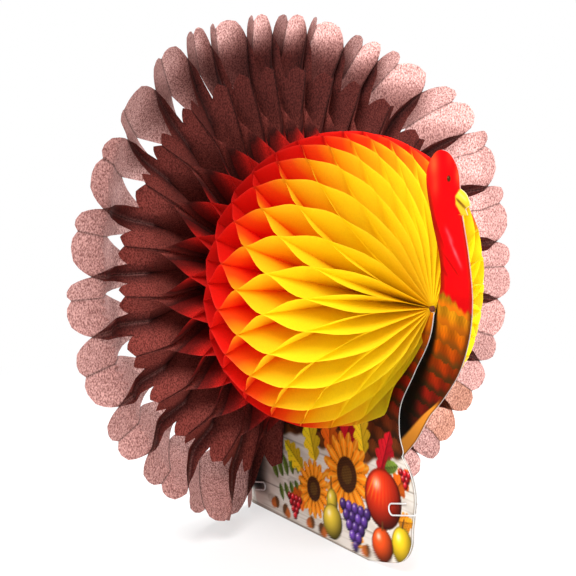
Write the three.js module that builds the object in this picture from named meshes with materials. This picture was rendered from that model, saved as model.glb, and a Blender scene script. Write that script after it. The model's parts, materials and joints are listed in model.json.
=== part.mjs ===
// A fold-out tissue turkey for the table: honeycomb leaves fanned round a spine cord, two printed
// cards that close the fan underneath, and two paper clips that hold the cards together.
// Millimetres, +Z up. The turkey faces +X, and the origin lies on the table under the middle of the figure.
import * as THREE from "three";

const { lerp, smoothstep, degToRad } = THREE.MathUtils;

// Spine cord
const SPINE_RADIUS = 1.2;
const KNOT_RADIUS = 1.9;
const KNOT_LENGTH = 1.2;
const ROUND_SIDES = 12;

// Tissue leaves: one die-cut outline, stacked and glued along lines square to the spine
const LEAF_COUNT = 54;
const LEAF_THICKNESS = 0.1;
const GLUE_GAP = 0.25;
const FIT_CLEARANCE = 0.3;
const GLUE_SPACING = 18.3;
const FIRST_LINE_DEPTH = 5;
const BODY_RADIUS = 89;
const BODY_HALF_LENGTH = 82;
const POLE_RADIUS = 5;
const WAIST_RADIUS = 74;
const FRONT_ROW_RADIUS = 119;
const ROW_NOTCH_RADIUS = 112;
const BACK_ROW_RADIUS = 150;
const BACK_ROW_SHOULDER = 12;
const BACK_NOTCH_RADIUS = 101;
const BACK_LOBE_FOOT = 121;
const BACK_EDGE_LINE = 10.35;
const LAST_LINE = 11;
const STEEP_RADIUS = 130;
const LEAST_STEP = 2;
const TABLE_CLEARANCE = 0.5;
// Rise of the cut edge from the waist to the front row: glue line, then share of the rise
const FRONT_ROW_RISE = [
  [7.5, 0],
  [8, 0.2],
  [8.9, 0.55],
  [9, 0.93],
  [9.3, 1],
];

// How the leaves share the turn: crowded at the top and beside the cards, wide at the sides
const TOP_CROWDING = 0.5;
const TOP_CROWD_WIDTH = 0.17;
const CARD_CROWDING = 0.25;
const CARD_CROWD_WIDTH = 0.12;

// An opened honeycomb draws its glue lines together towards the one that stays still
const BODY_STILL_LINE = 3;
const TAIL_STILL_LINE = 6.5;
const MOST_SPREAD = 0.97;
const HELD_LEAVES = 3;
// Crowded leaves at the top stand straight, so their tail reaches further; the lowest ones stand on the table
const TOP_REACH = 5;
const REST_ANGLE = degToRad(14);

// Shares of the room between two neighbouring leaves, used where they crowd in at the spine
const CROWDED_OFFSET = 0.42;
const CROWDED_HALF_THICKNESS = 0.2;
const LEAN_STEPS = 60;

// Cards
const CARD_THICKNESS = 0.6;
const CARD_GAP = 0.3;
const BASE_LENGTH = 179;
const POLE_FROM_BASE_MIDDLE = 101.5;
const REAR_SHOULDER_SHARE = 0.3;
const FAR_CARD_RELIEF = 12;
const CURVE_STEPS = 3;

// Paper clips
const WIRE_RADIUS = 0.45;
const WIRE_SIDES = 6;
const CLIP_WIDTH = 6.4;
const TONGUE_WIDTH = 4.8;
const CLIP_DEPTH = 23.5;
const TONGUE_DEPTH = 19;
const WIRE_END_DEPTH = 6;
const BEND_STEPS = 6;
const CLIP_PUSH = 0.5;
const FRONT_CLIP_SHARE = 0.27;
const FRONT_CLIP_TILT = 14;
const REAR_CLIP_SHARE = 0.073;
const REAR_CLIP_TILT = 12;

const TURN = 2 * Math.PI;
const AXIS_HEIGHT = BACK_ROW_RADIUS + TABLE_CLEARANCE;
const HUNDREDTH = AXIS_HEIGHT / 100;
const CARD_OUTER = CARD_GAP / 2 + CARD_THICKNESS;
const WIRE_PLANE = CARD_OUTER + FIT_CLEARANCE + WIRE_RADIUS;
const LEAF_INNER_RADIUS = SPINE_RADIUS + FIT_CLEARANCE;
const CARD_TOP = AXIS_HEIGHT - LEAF_INNER_RADIUS;
const BASE_END = BASE_LENGTH / 2;

// Distance of a glue line behind the front end of the body. A part of a line lies between two of them.
const depthOf = (line) => FIRST_LINE_DEPTH + (line - 1) * GLUE_SPACING;
const POLE_LINE = 1 - FIRST_LINE_DEPTH / GLUE_SPACING;
const BACK_EDGE_DEPTH = depthOf(BACK_EDGE_LINE);

const bump = (distance, width) => Math.exp(-((distance / width) ** 2));

// Room taken by each leaf at share u of the turn, before it is brought to a sum of one.
function leafRoom(u) {
  const top = TOP_CROWDING * bump(u - 0.5, TOP_CROWD_WIDTH);
  const cards = CARD_CROWDING * (bump(u, CARD_CROWD_WIDTH) + bump(1 - u, CARD_CROWD_WIDTH));
  return 1 - top - cards;
}

// Share of the turn at each boundary between leaves: 0 at the near card, 1 at the far card.
function boundaryShares() {
  const rooms = Array.from({ length: LEAF_COUNT }, (_, leaf) => leafRoom((leaf + 0.5) / LEAF_COUNT));
  const total = rooms.reduce((sum, room) => sum + room, 0);
  const shares = [0];
  rooms.forEach((room) => shares.push(shares.at(-1) + room / total));
  return shares;
}

const SHARES = boundaryShares();

// Distance that the outer leaves keep from the middle plane: clear of the cards, and of the clips at the tail.
function sideRoom(radius) {
  const clipRoom = smoothstep(radius, ROW_NOTCH_RADIUS, BACK_LOBE_FOOT);
  return CARD_OUTER + FIT_CLEARANCE + clipRoom * (2 * WIRE_RADIUS + FIT_CLEARANCE);
}

// The turn that is left between the two cards at a radius.
function openTurn(radius) {
  return TURN - 2 * Math.asin(sideRoom(radius) / radius);
}

// Angle of a boundary between leaves, from straight down round by the near side.
function boundaryAngle(boundary, radius) {
  const open = openTurn(radius);
  return (TURN - open) / 2 + SHARES[boundary] * open;
}

// How much a radius belongs to the tail: 0 on the body, 1 on both rows of the tail.
const tailShare = (radius) => smoothstep(radius, BODY_RADIUS, FRONT_ROW_RADIUS);

// How far a glue line moves along the spine when the fan is open.
function drawnIn(line, boundary, radius) {
  const before = Math.max(boundary - 1, 0);
  const after = Math.min(boundary + 1, LEAF_COUNT);
  const pitch = (TURN * (SHARES[after] - SHARES[before])) / (after - before);
  const held = Math.min(1, boundary / HELD_LEAVES, (LEAF_COUNT - boundary) / HELD_LEAVES);
  const spread = Math.min(radius * pitch * held, MOST_SPREAD * GLUE_SPACING);
  const still = lerp(BODY_STILL_LINE, TAIL_STILL_LINE, tailShare(radius));
  return (line - still) * (GLUE_SPACING - Math.sqrt(GLUE_SPACING ** 2 - spread ** 2));
}

// How much further the tail reaches at a boundary than its cut radius.
function extraReach(boundary, radius) {
  const share = SHARES[boundary];
  const fromBottom = TURN * Math.min(share, 1 - share);
  const standing = fromBottom < REST_ANGLE ? radius * (1 / Math.cos(fromBottom) - 1) : 0;
  return tailShare(radius) * (standing + TOP_REACH * bump(share - 0.5, TOP_CROWD_WIDTH));
}

// Room across a leaf at a radius, between the boundaries with its neighbours.
function roomAcross(leaf, radius) {
  return (SHARES[leaf + 1] - SHARES[leaf]) * openTurn(radius) * radius;
}

// A point of a leaf's middle on a glue line. Neighbours meet on alternate lines, so each leaf zigzags.
function pointOnLine(leaf, line, radius) {
  const meetsNext = (leaf + line + 1) % 2;
  const boundary = leaf + meetsNext;
  const offset = Math.min((LEAF_THICKNESS + GLUE_GAP) / 2, CROWDED_OFFSET * roomAcross(leaf, radius)) / radius;
  const angle = boundaryAngle(boundary, radius) + (meetsNext ? -offset : offset);
  const along = -depthOf(line) + drawnIn(line, boundary, radius);
  const reach = radius + extraReach(boundary, radius);
  return new THREE.Vector3(along, -reach * Math.sin(angle), -reach * Math.cos(angle));
}

function pointOfLeaf(leaf, line, radius) {
  const before = Math.floor(line);
  const start = pointOnLine(leaf, before, radius);
  return line === before ? start : start.lerp(pointOnLine(leaf, before + 1, radius), line - before);
}

// Radius of the round body at a glue line.
function bodyRadius(line) {
  const along = depthOf(line) / BODY_HALF_LENGTH - 1;
  return Math.max(POLE_RADIUS, BODY_RADIUS * Math.sqrt(Math.max(0, 1 - along ** 2)));
}

// Radii of the points of a column: its two ends, and the rows between them where the tail curves.
function columnRadii(inner, outer) {
  const rows = [BACK_NOTCH_RADIUS, ROW_NOTCH_RADIUS, BACK_LOBE_FOOT, STEEP_RADIUS];
  return [inner, ...rows.filter((row) => row > inner + LEAST_STEP && row < outer - LEAST_STEP), outer];
}

// Columns of the leaf from the pole to the tail: glue line, then the radii of its points.
function leafColumns() {
  const shoulder = BACK_ROW_RADIUS - BACK_ROW_SHOULDER;
  const lobeTop = BACK_ROW_RADIUS - BACK_ROW_SHOULDER / 8;
  const tip = BACK_ROW_RADIUS - BACK_ROW_SHOULDER / 3;
  const edge = [
    ...[POLE_LINE, 1, 1.5, 2, 3, 4, 5, 6, 7].map((line) => [line, bodyRadius(line)]),
    ...FRONT_ROW_RISE.map(([line, share]) => [line, lerp(WAIST_RADIUS, FRONT_ROW_RADIUS, share)]),
    [9.6, ROW_NOTCH_RADIUS],
    [9.7, BACK_LOBE_FOOT],
    [9.8, STEEP_RADIUS],
    [10, shoulder],
    [BACK_EDGE_LINE, lobeTop],
  ];
  const columns = edge.map(([line, radius]) => ({ line, radii: columnRadii(LEAF_INNER_RADIUS, radius) }));
  const lobeMiddle = lerp(BACK_NOTCH_RADIUS, BACK_LOBE_FOOT, 0.5);
  columns.push({ line: BACK_EDGE_LINE, radii: columnRadii(BACK_NOTCH_RADIUS, lobeTop), stepsIn: true });
  columns.push({ line: 10.65, radii: columnRadii(lobeMiddle, BACK_ROW_RADIUS) });
  columns.push({ line: LAST_LINE, radii: columnRadii(BACK_LOBE_FOOT, tip) });
  return columns;
}

// The flat leaf as numbered points and triangles, with no triangle across a glue line.
function leafPattern() {
  const points = [];
  const triangles = [];
  const number = new Map();
  const indexOf = (line, radius) => {
    const key = line + "/" + radius;
    if (!number.has(key)) {
      number.set(key, points.length);
      points.push([line, radius]);
    }
    return number.get(key);
  };
  const columns = leafColumns().map(({ line, radii, stepsIn }) => ({
    stepsIn,
    points: radii.map((radius) => indexOf(line, radius)),
  }));
  for (let c = 1; c < columns.length; c++) {
    if (!columns[c].stepsIn) stitch(points, columns[c - 1].points, columns[c].points, triangles);
  }
  return { points, triangles };
}

// Fills the strip between two columns of points with triangles, joining the rows that lie closest.
function stitch(points, left, right, triangles) {
  const radiusOf = (index) => points[index][1];
  let a = 0;
  let b = 0;
  while (a < left.length - 1 || b < right.length - 1) {
    const goLeft =
      b === right.length - 1 || (a < left.length - 1 && radiusOf(left[a + 1]) <= radiusOf(right[b + 1]));
    triangles.push(goLeft ? [left[a], left[a + 1], right[b]] : [left[a], right[b + 1], right[b]]);
    if (goLeft) a += 1;
    else b += 1;
  }
}

const LEAF_PATTERN = leafPattern();

// Direction across the sheet at each point: drawn step by step towards the face there that it leans from most.
function directionsAcross(points, triangles) {
  const normals = points.map(() => []);
  const facet = new THREE.Triangle();
  for (const corners of triangles) {
    const normal = facet.setFromPointsAndIndices(points, ...corners).getNormal(new THREE.Vector3());
    corners.forEach((corner) => normals[corner].push(normal));
  }
  return normals.map((around) => {
    const direction = around[0].clone();
    for (let step = 1; step <= LEAN_STEPS; step++) {
      const worst = around.reduce((a, b) => (b.dot(direction) < a.dot(direction) ? b : a));
      direction.lerp(worst, 1 / (step + 1));
    }
    return direction.normalize();
  });
}

// One leaf as a thin closed sheet: both faces of the pattern, and a wall along its cut edge.
function leafGeometry(leaf) {
  const { points, triangles } = LEAF_PATTERN;
  const count = points.length;
  const middle = points.map(([line, radius]) => pointOfLeaf(leaf, line, radius));
  const across = directionsAcross(middle, triangles);
  const half = points.map(([, radius]) =>
    Math.min(LEAF_THICKNESS / 2, CROWDED_HALF_THICKNESS * roomAcross(leaf, radius)),
  );
  const positions = [-1, 1].flatMap((face) =>
    middle.flatMap((point, i) => point.clone().addScaledVector(across[i], face * half[i]).toArray()),
  );
  const inside = new Set(triangles.flatMap(([a, b, c]) => [a + "/" + b, b + "/" + c, c + "/" + a]));
  const index = [];
  for (const [a, b, c] of triangles) {
    index.push(a, c, b, a + count, b + count, c + count);
    for (const [from, to] of [[a, b], [b, c], [c, a]]) {
      if (!inside.has(to + "/" + from)) index.push(from, to, to + count, from, to + count, from + count);
    }
  }
  return new THREE.BufferGeometry()
    .setAttribute("position", new THREE.Float32BufferAttribute(positions, 3))
    .setIndex(index);
}

// Cord with a flat knot at each end, turned about its own length.
function spineGeometry() {
  const end = BACK_EDGE_DEPTH + FIT_CLEARANCE;
  const profile = [
    [0, -FIT_CLEARANCE - KNOT_LENGTH],
    [KNOT_RADIUS, -FIT_CLEARANCE - KNOT_LENGTH],
    [KNOT_RADIUS, -FIT_CLEARANCE],
    [SPINE_RADIUS, -FIT_CLEARANCE],
    [SPINE_RADIUS, end],
    [KNOT_RADIUS, end],
    [KNOT_RADIUS, end + KNOT_LENGTH],
    [0, end + KNOT_LENGTH],
  ];
  return new THREE.LatheGeometry(
    profile.map(([radius, along]) => new THREE.Vector2(radius, along)),
    ROUND_SIDES,
  );
}

// Points of a card's outline, in hundredths of the spine's height, counted along X from a start.
function outline(start, points) {
  return points.map(([x, z]) => new THREE.Vector2(start + x * HUNDREDTH, z * HUNDREDTH));
}

// Base shared by both cards: up the rear edge, along the table and round the front to the breast.
function startBase(top) {
  const rearTop = POLE_FROM_BASE_MIDDLE - BACK_EDGE_DEPTH;
  const shoulder = REAR_SHOULDER_SHARE * AXIS_HEIGHT;
  const shape = new THREE.Shape();
  shape.moveTo(rearTop, top);
  shape.bezierCurveTo(rearTop, lerp(top, shoulder, 0.6), -BASE_END, top / 2, -BASE_END, shoulder);
  shape.lineTo(-BASE_END, 0);
  shape.lineTo(BASE_END / 2, 0);
  const front = [
    [-16, 3],
    [-7.3, 6],
    [-2.3, 12],
    [-1.3, 20],
    [0, 30.5],
    [-2.7, 38.5],
    [-8.6, 44.2],
  ];
  shape.splineThru(outline(BASE_END, front));
  return shape;
}

// Lower breast, from the base up to the pole, with its top edge along the spine.
function nearCardShape() {
  const shape = startBase(CARD_TOP);
  const pole = POLE_FROM_BASE_MIDDLE - FIT_CLEARANCE;
  const breast = [
    [-15.6, 46.5],
    [-18, 52.5],
    [-17.3, 63],
    [-9.3, 75.7],
    [-2.7, 87.7],
  ];
  shape.splineThru([...outline(pole, breast), new THREE.Vector2(pole, CARD_TOP)]);
  shape.closePath();
  return shape;
}

// Breast, neck and head, cut clear of the spine so that this card can swing right round it.
function farCardShape() {
  const top = AXIS_HEIGHT - FAR_CARD_RELIEF;
  const pole = POLE_FROM_BASE_MIDDLE;
  const shape = startBase(top);
  const breast = [
    [-8.3, 52],
    [-0.7, 62],
    [6.6, 69],
    [16, 80.4],
    [21.3, 93],
    [22.6, 106.3],
    [20, 121],
    [16.3, 133.5],
  ];
  shape.splineThru(outline(pole, breast));
  const [chin, mouth, beakTip, beakTop, brow] = outline(pole, [
    [19.3, 133.9],
    [18, 135.9],
    [20.6, 137.2],
    [19.3, 141.2],
    [15, 142.2],
  ]);
  shape.lineTo(chin.x, chin.y);
  shape.lineTo(mouth.x, mouth.y);
  shape.lineTo(beakTip.x, beakTip.y);
  shape.quadraticCurveTo(beakTop.x, beakTop.y, brow.x, brow.y);
  const head = [
    [13.6, 148.8],
    [8.6, 153.8],
    [2, 154.2],
    [-3.3, 148.8],
    [-4, 142.2],
    [-0.7, 131],
    [4, 118.3],
    [4.7, 108.3],
    [2.7, 99.7],
  ];
  const nape = new THREE.Vector2(pole + 1.7 * HUNDREDTH, top);
  shape.splineThru([...outline(pole, head), nape]);
  shape.closePath();
  return shape;
}

// Card of one outline, standing in the XZ plane with its thickness along Y from the given side.
function cardGeometry(shape, nearestY) {
  return new THREE.ExtrudeGeometry(shape, {
    depth: CARD_THICKNESS,
    bevelEnabled: false,
    curveSegments: CURVE_STEPS,
  })
    .rotateX(Math.PI / 2)
    .translate(0, nearestY + CARD_THICKNESS, 0);
}

// Half turn of wire between two depths of card, from one height and side to the other.
function bend(points, [depth, height, side], [endHeight, endSide], outward) {
  const radius = Math.abs(height - endHeight) / 2;
  for (let step = 0; step <= BEND_STEPS; step++) {
    const share = step / BEND_STEPS;
    points.push([
      depth + outward * radius * Math.sin(Math.PI * share),
      lerp(height, endHeight, (1 - Math.cos(Math.PI * share)) / 2),
      lerp(side, endSide, share),
    ]);
  }
}

// Wire of a paper clip as depth into the card, height and side: near loop, round the edge, far tongue.
function clipPath() {
  const half = CLIP_WIDTH / 2;
  const tongue = TONGUE_WIDTH / 2;
  const points = [[WIRE_END_DEPTH, half, -WIRE_PLANE]];
  bend(points, [CLIP_DEPTH - half, half, -WIRE_PLANE], [-half, -WIRE_PLANE], 1);
  bend(points, [-WIRE_RADIUS, -half, -WIRE_PLANE], [tongue, WIRE_PLANE], -1);
  bend(points, [TONGUE_DEPTH - tongue, tongue, WIRE_PLANE], [-tongue, WIRE_PLANE], 1);
  points.push([WIRE_END_DEPTH, -tongue, WIRE_PLANE]);
  return points;
}

// Round wire along the clip's path, as rings of points joined up and closed at both ends.
function clipGeometry() {
  const path = clipPath().map((point) => new THREE.Vector3(...point));
  const positions = [];
  path.forEach((point, step) => {
    const before = path[Math.max(step - 1, 0)];
    const after = path[Math.min(step + 1, path.length - 1)];
    const ahead = after.clone().sub(before).normalize();
    const across = new THREE.Vector3(0, 0, 1).addScaledVector(ahead, -ahead.z).normalize();
    const up = ahead.clone().cross(across);
    for (let side = 0; side < WIRE_SIDES; side++) {
      const angle = (TURN * side) / WIRE_SIDES;
      const rim = point
        .clone()
        .addScaledVector(across, WIRE_RADIUS * Math.cos(angle))
        .addScaledVector(up, WIRE_RADIUS * Math.sin(angle));
      positions.push(...rim.toArray());
    }
  });
  const index = [];
  const at = (ring, side) => ring * WIRE_SIDES + (side % WIRE_SIDES);
  for (let ring = 1; ring < path.length; ring++) {
    for (let side = 0; side < WIRE_SIDES; side++) {
      index.push(at(ring - 1, side), at(ring - 1, side + 1), at(ring, side));
      index.push(at(ring - 1, side + 1), at(ring, side + 1), at(ring, side));
    }
  }
  for (let side = 2; side < WIRE_SIDES; side++) {
    index.push(at(0, 0), at(0, side), at(0, side - 1));
    index.push(at(path.length - 1, 0), at(path.length - 1, side - 1), at(path.length - 1, side));
  }
  return new THREE.BufferGeometry()
    .setAttribute("position", new THREE.Float32BufferAttribute(positions, 3))
    .setIndex(index);
}

// Finishes
const tissue = new THREE.MeshStandardMaterial({ color: "#d8571c", roughness: 0.9, metalness: 0 });
const printedCard = new THREE.MeshStandardMaterial({ color: "#d9cfc0", roughness: 0.6, metalness: 0 });
const coatedWire = new THREE.MeshStandardMaterial({ color: "#f2f2f0", roughness: 0.35, metalness: 0 });
const cotton = new THREE.MeshStandardMaterial({ color: "#3a2a20", roughness: 0.95, metalness: 0 });

function piece(name, geometry, material) {
  const mesh = new THREE.Mesh(geometry, material);
  mesh.name = name;
  return mesh;
}

// A clip pushed on to an edge of the base. Its own axes are depth, height and side.
function clip(name, edge, height, inward, tiltDegrees) {
  const mesh = piece(name, clipGeometry(), coatedWire);
  const tilt = degToRad(tiltDegrees);
  const depth = new THREE.Vector3(inward * Math.cos(tilt), 0, inward * Math.sin(tilt));
  const up = new THREE.Vector3(-inward * depth.z, 0, inward * depth.x);
  const side = depth.clone().cross(up);
  mesh.quaternion.setFromRotationMatrix(new THREE.Matrix4().makeBasis(depth, up, side));
  mesh.position.set(edge, 0, height);
  return mesh;
}

const figure = new THREE.Group();
const fan = new THREE.Group();
fan.position.set(POLE_FROM_BASE_MIDDLE, 0, AXIS_HEIGHT);
for (let leaf = 0; leaf < LEAF_COUNT; leaf++) {
  fan.add(piece("tissue_leaf_" + String(leaf + 1).padStart(2, "0"), leafGeometry(leaf), tissue));
}
const spine = piece("spine_cord", spineGeometry(), cotton);
spine.rotation.z = Math.PI / 2;
fan.add(spine);
figure.add(fan);
figure.add(piece("near_card", cardGeometry(nearCardShape(), -CARD_OUTER), printedCard));
figure.add(piece("far_card", cardGeometry(farCardShape(), CARD_GAP / 2), printedCard));
const frontClipHeight = FRONT_CLIP_SHARE * AXIS_HEIGHT;
const rearClipHeight = REAR_CLIP_SHARE * AXIS_HEIGHT;
figure.add(clip("front_clip", BASE_END - CLIP_PUSH, frontClipHeight, -1, FRONT_CLIP_TILT));
figure.add(clip("rear_clip", -BASE_END, rearClipHeight, 1, REAR_CLIP_TILT));

// The origin goes under the middle of the figure.
figure.updateMatrixWorld(true);
const middle = new THREE.Box3().setFromObject(figure, true).getCenter(new THREE.Vector3());
figure.position.x = -middle.x;

export default figure;
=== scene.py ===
"""Dresses a fold-out tissue turkey: dyed honeycomb leaves, printed cards, clips, cord and a pale stage."""

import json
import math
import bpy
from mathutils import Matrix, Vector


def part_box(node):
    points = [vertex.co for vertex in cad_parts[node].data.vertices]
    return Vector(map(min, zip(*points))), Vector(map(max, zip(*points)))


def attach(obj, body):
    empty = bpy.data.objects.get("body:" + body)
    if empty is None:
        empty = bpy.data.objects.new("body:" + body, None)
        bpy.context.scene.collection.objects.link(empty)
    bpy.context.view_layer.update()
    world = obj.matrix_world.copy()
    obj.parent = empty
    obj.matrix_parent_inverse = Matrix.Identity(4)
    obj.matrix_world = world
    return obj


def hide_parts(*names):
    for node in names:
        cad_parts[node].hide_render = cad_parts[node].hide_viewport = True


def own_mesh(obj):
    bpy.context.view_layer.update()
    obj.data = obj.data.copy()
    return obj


bl_info = {
    "name": "Tissue turkey",
    "version": (1, 0, 0),
    "blender": (4, 5, 0),
    "location": "View3D > Sidebar > Turkey",
    "description": "Builds a fold-out tissue turkey and its studio round the packed frame",
    "category": "Object",
}

import bpy
import numpy as np
from mathutils import Vector

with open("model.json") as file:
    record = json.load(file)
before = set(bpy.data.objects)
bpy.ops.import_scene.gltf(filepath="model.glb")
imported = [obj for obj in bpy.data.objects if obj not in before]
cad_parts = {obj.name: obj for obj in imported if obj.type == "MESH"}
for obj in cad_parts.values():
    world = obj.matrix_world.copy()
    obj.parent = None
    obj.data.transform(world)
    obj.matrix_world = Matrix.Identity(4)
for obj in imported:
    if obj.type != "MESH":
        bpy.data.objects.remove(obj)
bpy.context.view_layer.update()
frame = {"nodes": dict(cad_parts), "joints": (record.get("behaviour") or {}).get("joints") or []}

MM = 0.001
TURN = 2 * math.pi

# Sizes shared with the frame: leaves, axis of the fan, the cards' base and the pole along X, and fits
LEAF_NODES = sorted(name for name in frame["nodes"] if name.startswith("tissue_leaf_"))
LEAF_COUNT = len(LEAF_NODES)
FOLD = next(joint for joint in frame["joints"] if joint["name"] == "fold")
AXIS_HEIGHT = FOLD["pos_m"][2]
BASE_END = 89.5 * MM
BASE_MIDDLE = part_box("near_card")[0].x + BASE_END
POLE_X = 101.5 * MM
POLE = BASE_MIDDLE + POLE_X
GLUE_SPACING_MM = 18.3
FIT_CLEARANCE = 0.3 * MM

# How the leaves share the turn
TOP_CROWDING = 0.5
TOP_CROWD_WIDTH = 0.17
CARD_CROWDING = 0.25
CARD_CROWD_WIDTH = 0.12
CARD_ROOM = 1.05 * MM
CLIP_ROOM = 1.2 * MM
LEAF_INNER_RADIUS = 1.5 * MM

# How an opened honeycomb draws its glue lines together, and how its tail folds, reaches out and stands
BODY_STILL_LINE = 3
TAIL_STILL_LINE = 6.5
MOST_SPREAD = 0.97
HELD_LEAVES = 3
TAIL_CRISPNESS = 0.8
TOP_REACH = 5 * MM
REST_ANGLE = math.radians(14)

# Where the body settles, as shares of the turn and as glue lines
FAR_SIDE = 0.77
SETTLED_WIDTH = 0.14
BESIDE_WIDTH = 0.1
BREAST_LINES = (0.7, 3.4)
SETTLED_LINES = (6, 9)

# Soft wrinkles: radians for each glue line, radians for each metre of radius, and height
WRINKLES = [(1.9, 210, 1.0), (-1.3, 340, 1.0), (5.3, 90, 0.6)]
WRINKLES_SUM = sum(height for _, _, height in WRINKLES)
SMOOTH_INNER_RADII = (20 * MM, 60 * MM)

# Glue lines where the cut edge changes, and the share of the rise to the front row there
FIRST_LINE_DEPTH = 5 * MM
LAST_BODY_LINE = 7
WAIST_LINE = 7.5
BACK_EDGE_LINE = 10.35
LAST_LINE = 11
FRONT_ROW_RISE = [(WAIST_LINE, 0.0), (8.0, 0.2), (8.9, 0.55), (9.0, 0.93), (9.3, 1.0)]

# Glue lines over which the dye and its painted shade change, how far they run there, and shares of the
# turn where they differ
RUN_LINES = (5, 7)
# Painted warm shade: distances from the cut edge over which the dye turns deeper inside the cells
INNER_SHADE_REACH = (3 * MM, 24 * MM)
BACK_FACE_LINES = (8.4, 9)
SPIKE_LINES = (7.65, 8.55)
PETAL_LINE = 9.5
FULL_PETAL_LINE = 9.8
SHADOW_DEPTH = 9.7
PETAL_DEPTH = 10.4
# Dye of the back petals along the glue lines; the stop at 9.9 is painted shade in the band between the two
# rows
PETAL_DYE_AND_SHADE = [(PETAL_LINE, 9), (9.9, SHADOW_DEPTH), (10.1, PETAL_DEPTH), (LAST_LINE, LAST_LINE)]
# The front row and the red spikes run through the painted shade at dye line 8.5 on their way to maroon
ROW_DARKENING = 1.5
SPIKE_DARKENING = 0.9
# Painted shade on the crowded top of the front row, where the leaves shade each other
TOP_PAINTED_SHADE = 0.5
CROWN_SIDE = 0.6
CROWN_WIDTH = 0.1
COPPER_SIDE = 0.867
COPPER_WIDTH = 0.016
CREASE_WIDTH = 0.6 * MM
PALE_EDGE_WIDTH = 0.5 * MM
SHARP_TISSUE = math.radians(30)


def srgb(red, green, blue):
    """Linear colour of an sRGB colour whose channels run from 0 to 255."""
    channels = (red / 255, green / 255, blue / 255)
    return tuple(c / 12.92 if c <= 0.04045 else ((c + 0.055) / 1.055) ** 2.4 for c in channels)


def size(name, description, millimetres):
    """A length that a user may change."""
    return bpy.props.FloatProperty(
        name=name, description=description, default=millimetres * MM, min=0.0, precision=5, unit="LENGTH"
    )


def share(name, description, default):
    """A part of a whole that a user may change."""
    return bpy.props.FloatProperty(
        name=name, description=description, default=default, min=0.0, max=1.0, subtype="FACTOR"
    )


def number(name, description, default):
    """A number from 0 up that a user may change."""
    return bpy.props.FloatProperty(name=name, description=description, default=default, min=0.0)


def turn(name, description, degrees):
    """An angle that a user may change."""
    return bpy.props.FloatProperty(
        name=name, description=description, default=math.radians(degrees), subtype="ANGLE"
    )


def colour(name, description, red, green, blue):
    """A colour that a user may change."""
    return bpy.props.FloatVectorProperty(
        name=name,
        description=description,
        default=srgb(red, green, blue),
        min=0.0,
        max=1.0,
        size=3,
        subtype="COLOR",
    )


class TurkeyTissue(bpy.types.PropertyGroup):
    """Cut, creases, dye and painted shade of the tissue leaves."""

    glue_spacing: size("Glue spacing", "Distance between glue lines along the cord", GLUE_SPACING_MM)
    body_radius: size("Body radius", "Radius of the round body", 89)
    body_half_length: size("Body half length", "Half of the body's length along the cord", 82)
    pole_radius: size("Pole radius", "Radius of the leaves at the front end of the cord", 5)
    waist_radius: size("Waist radius", "Radius between the body and the tail", 74)
    front_row_radius: size("Front row radius", "Radius of the front row of tail petals", 119)
    row_notch_radius: size("Row notch radius", "Radius of the cut between the two rows of petals", 112)
    back_row_radius: size("Back row radius", "Radius of the back row of tail petals", 150)
    back_row_shoulder: size("Back row shoulder", "How far a back petal's sides stay below its top", 12)
    back_notch_radius: size("Back notch radius", "Radius where the back petals leave the back edge", 101)
    back_lobe_foot: size("Back petal foot", "Radius of the foot of the back petals", 121)
    roundness: share("Roundness", "How softly a leaf swings from one glue line to the next", 0.6)
    wrinkle: size("Wrinkle", "Height of the soft wrinkles in the tissue", 0.35)
    unevenness: size("Unevenness", "How far the petals stray from their cut radius", 1.6)
    tail_swing: share("Tail swing", "How far the petals stray sideways, as a share of spacing", 0.16)
    top_swing: share("Top swing", "How much further they stray sideways at the crowded top", 0.22)
    far_side_drop: share("Far side drop", "How much closer to the cord the body's far side sits", 0.16)
    low_drop: share("Low drop", "How much closer to the cord the body sits beside the cards", 0.15)
    breast_drop: share("Breast drop", "How much more the front of the body gives way to the cards", 0.34)
    # Painted warm shade: the dye turns deeper, towards orange, inside the cells where the folds lie in
    # shade
    painted_inner_shade: number("Painted inner shade", "Glue lines by which the dye runs deeper inside the cells", 0.5)
    crown_dye: number("Crown dye", "Glue lines by which the dye runs further forward on the crown", 1.6)
    crease_shade: share("Crease shade", "How dark the glued creases of the tail are", 0.6)
    see_through: share("See-through", "Share of the light that passes through the tissue", 0.5)
    front_row_clear: share("Front row see-through", "The same for the front row, as a share of it", 0.25)
    pole_dye: colour("Pole dye", "Tissue at the front end of the cord", 255, 232, 36)
    yellow_dye: colour("Yellow dye", "Tissue on the front of the body", 255, 240, 30)
    gold_dye: colour("Gold dye", "Tissue where yellow turns to orange", 255, 226, 30)
    orange_dye: colour("Orange dye", "Tissue on the middle of the body", 255, 196, 16)
    flame_dye: colour("Flame dye", "Tissue where orange turns to red", 255, 82, 16)
    red_dye: colour("Red dye", "Tissue on the back of the body", 244, 30, 14)
    deep_red_dye: colour("Deep red dye", "Tissue at the waist", 210, 8, 8)
    wine_dye: colour("Wine dye", "Tissue at the foot of the front row", 228, 36, 28)
    maroon_dye: colour("Maroon dye", "Tips of the front row of petals", 142, 66, 57)
    # Painted shade: dark maroon laid where the tail lies in shade, between the two rows of petals, in the
    # front row's hollows and on the crowded top
    painted_shade: colour("Painted shade", "Tissue between the two rows of petals", 70, 24, 20)
    body_glow: colour("Body glow", "Light that has passed through the body", 255, 196, 0)
    petal_glow: colour("Petal glow", "Light that has passed through the back petals", 255, 232, 226)
    glow_share: share("Glow share", "How much of that tint the light takes on", 0.38)
    copper_tint: colour("Copper tint", "Tint of the few back petals that took up orange", 255, 214, 96)
    petal_dye: colour("Petal dye", "Tissue of the back row of petals", 184, 121, 112)


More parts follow.
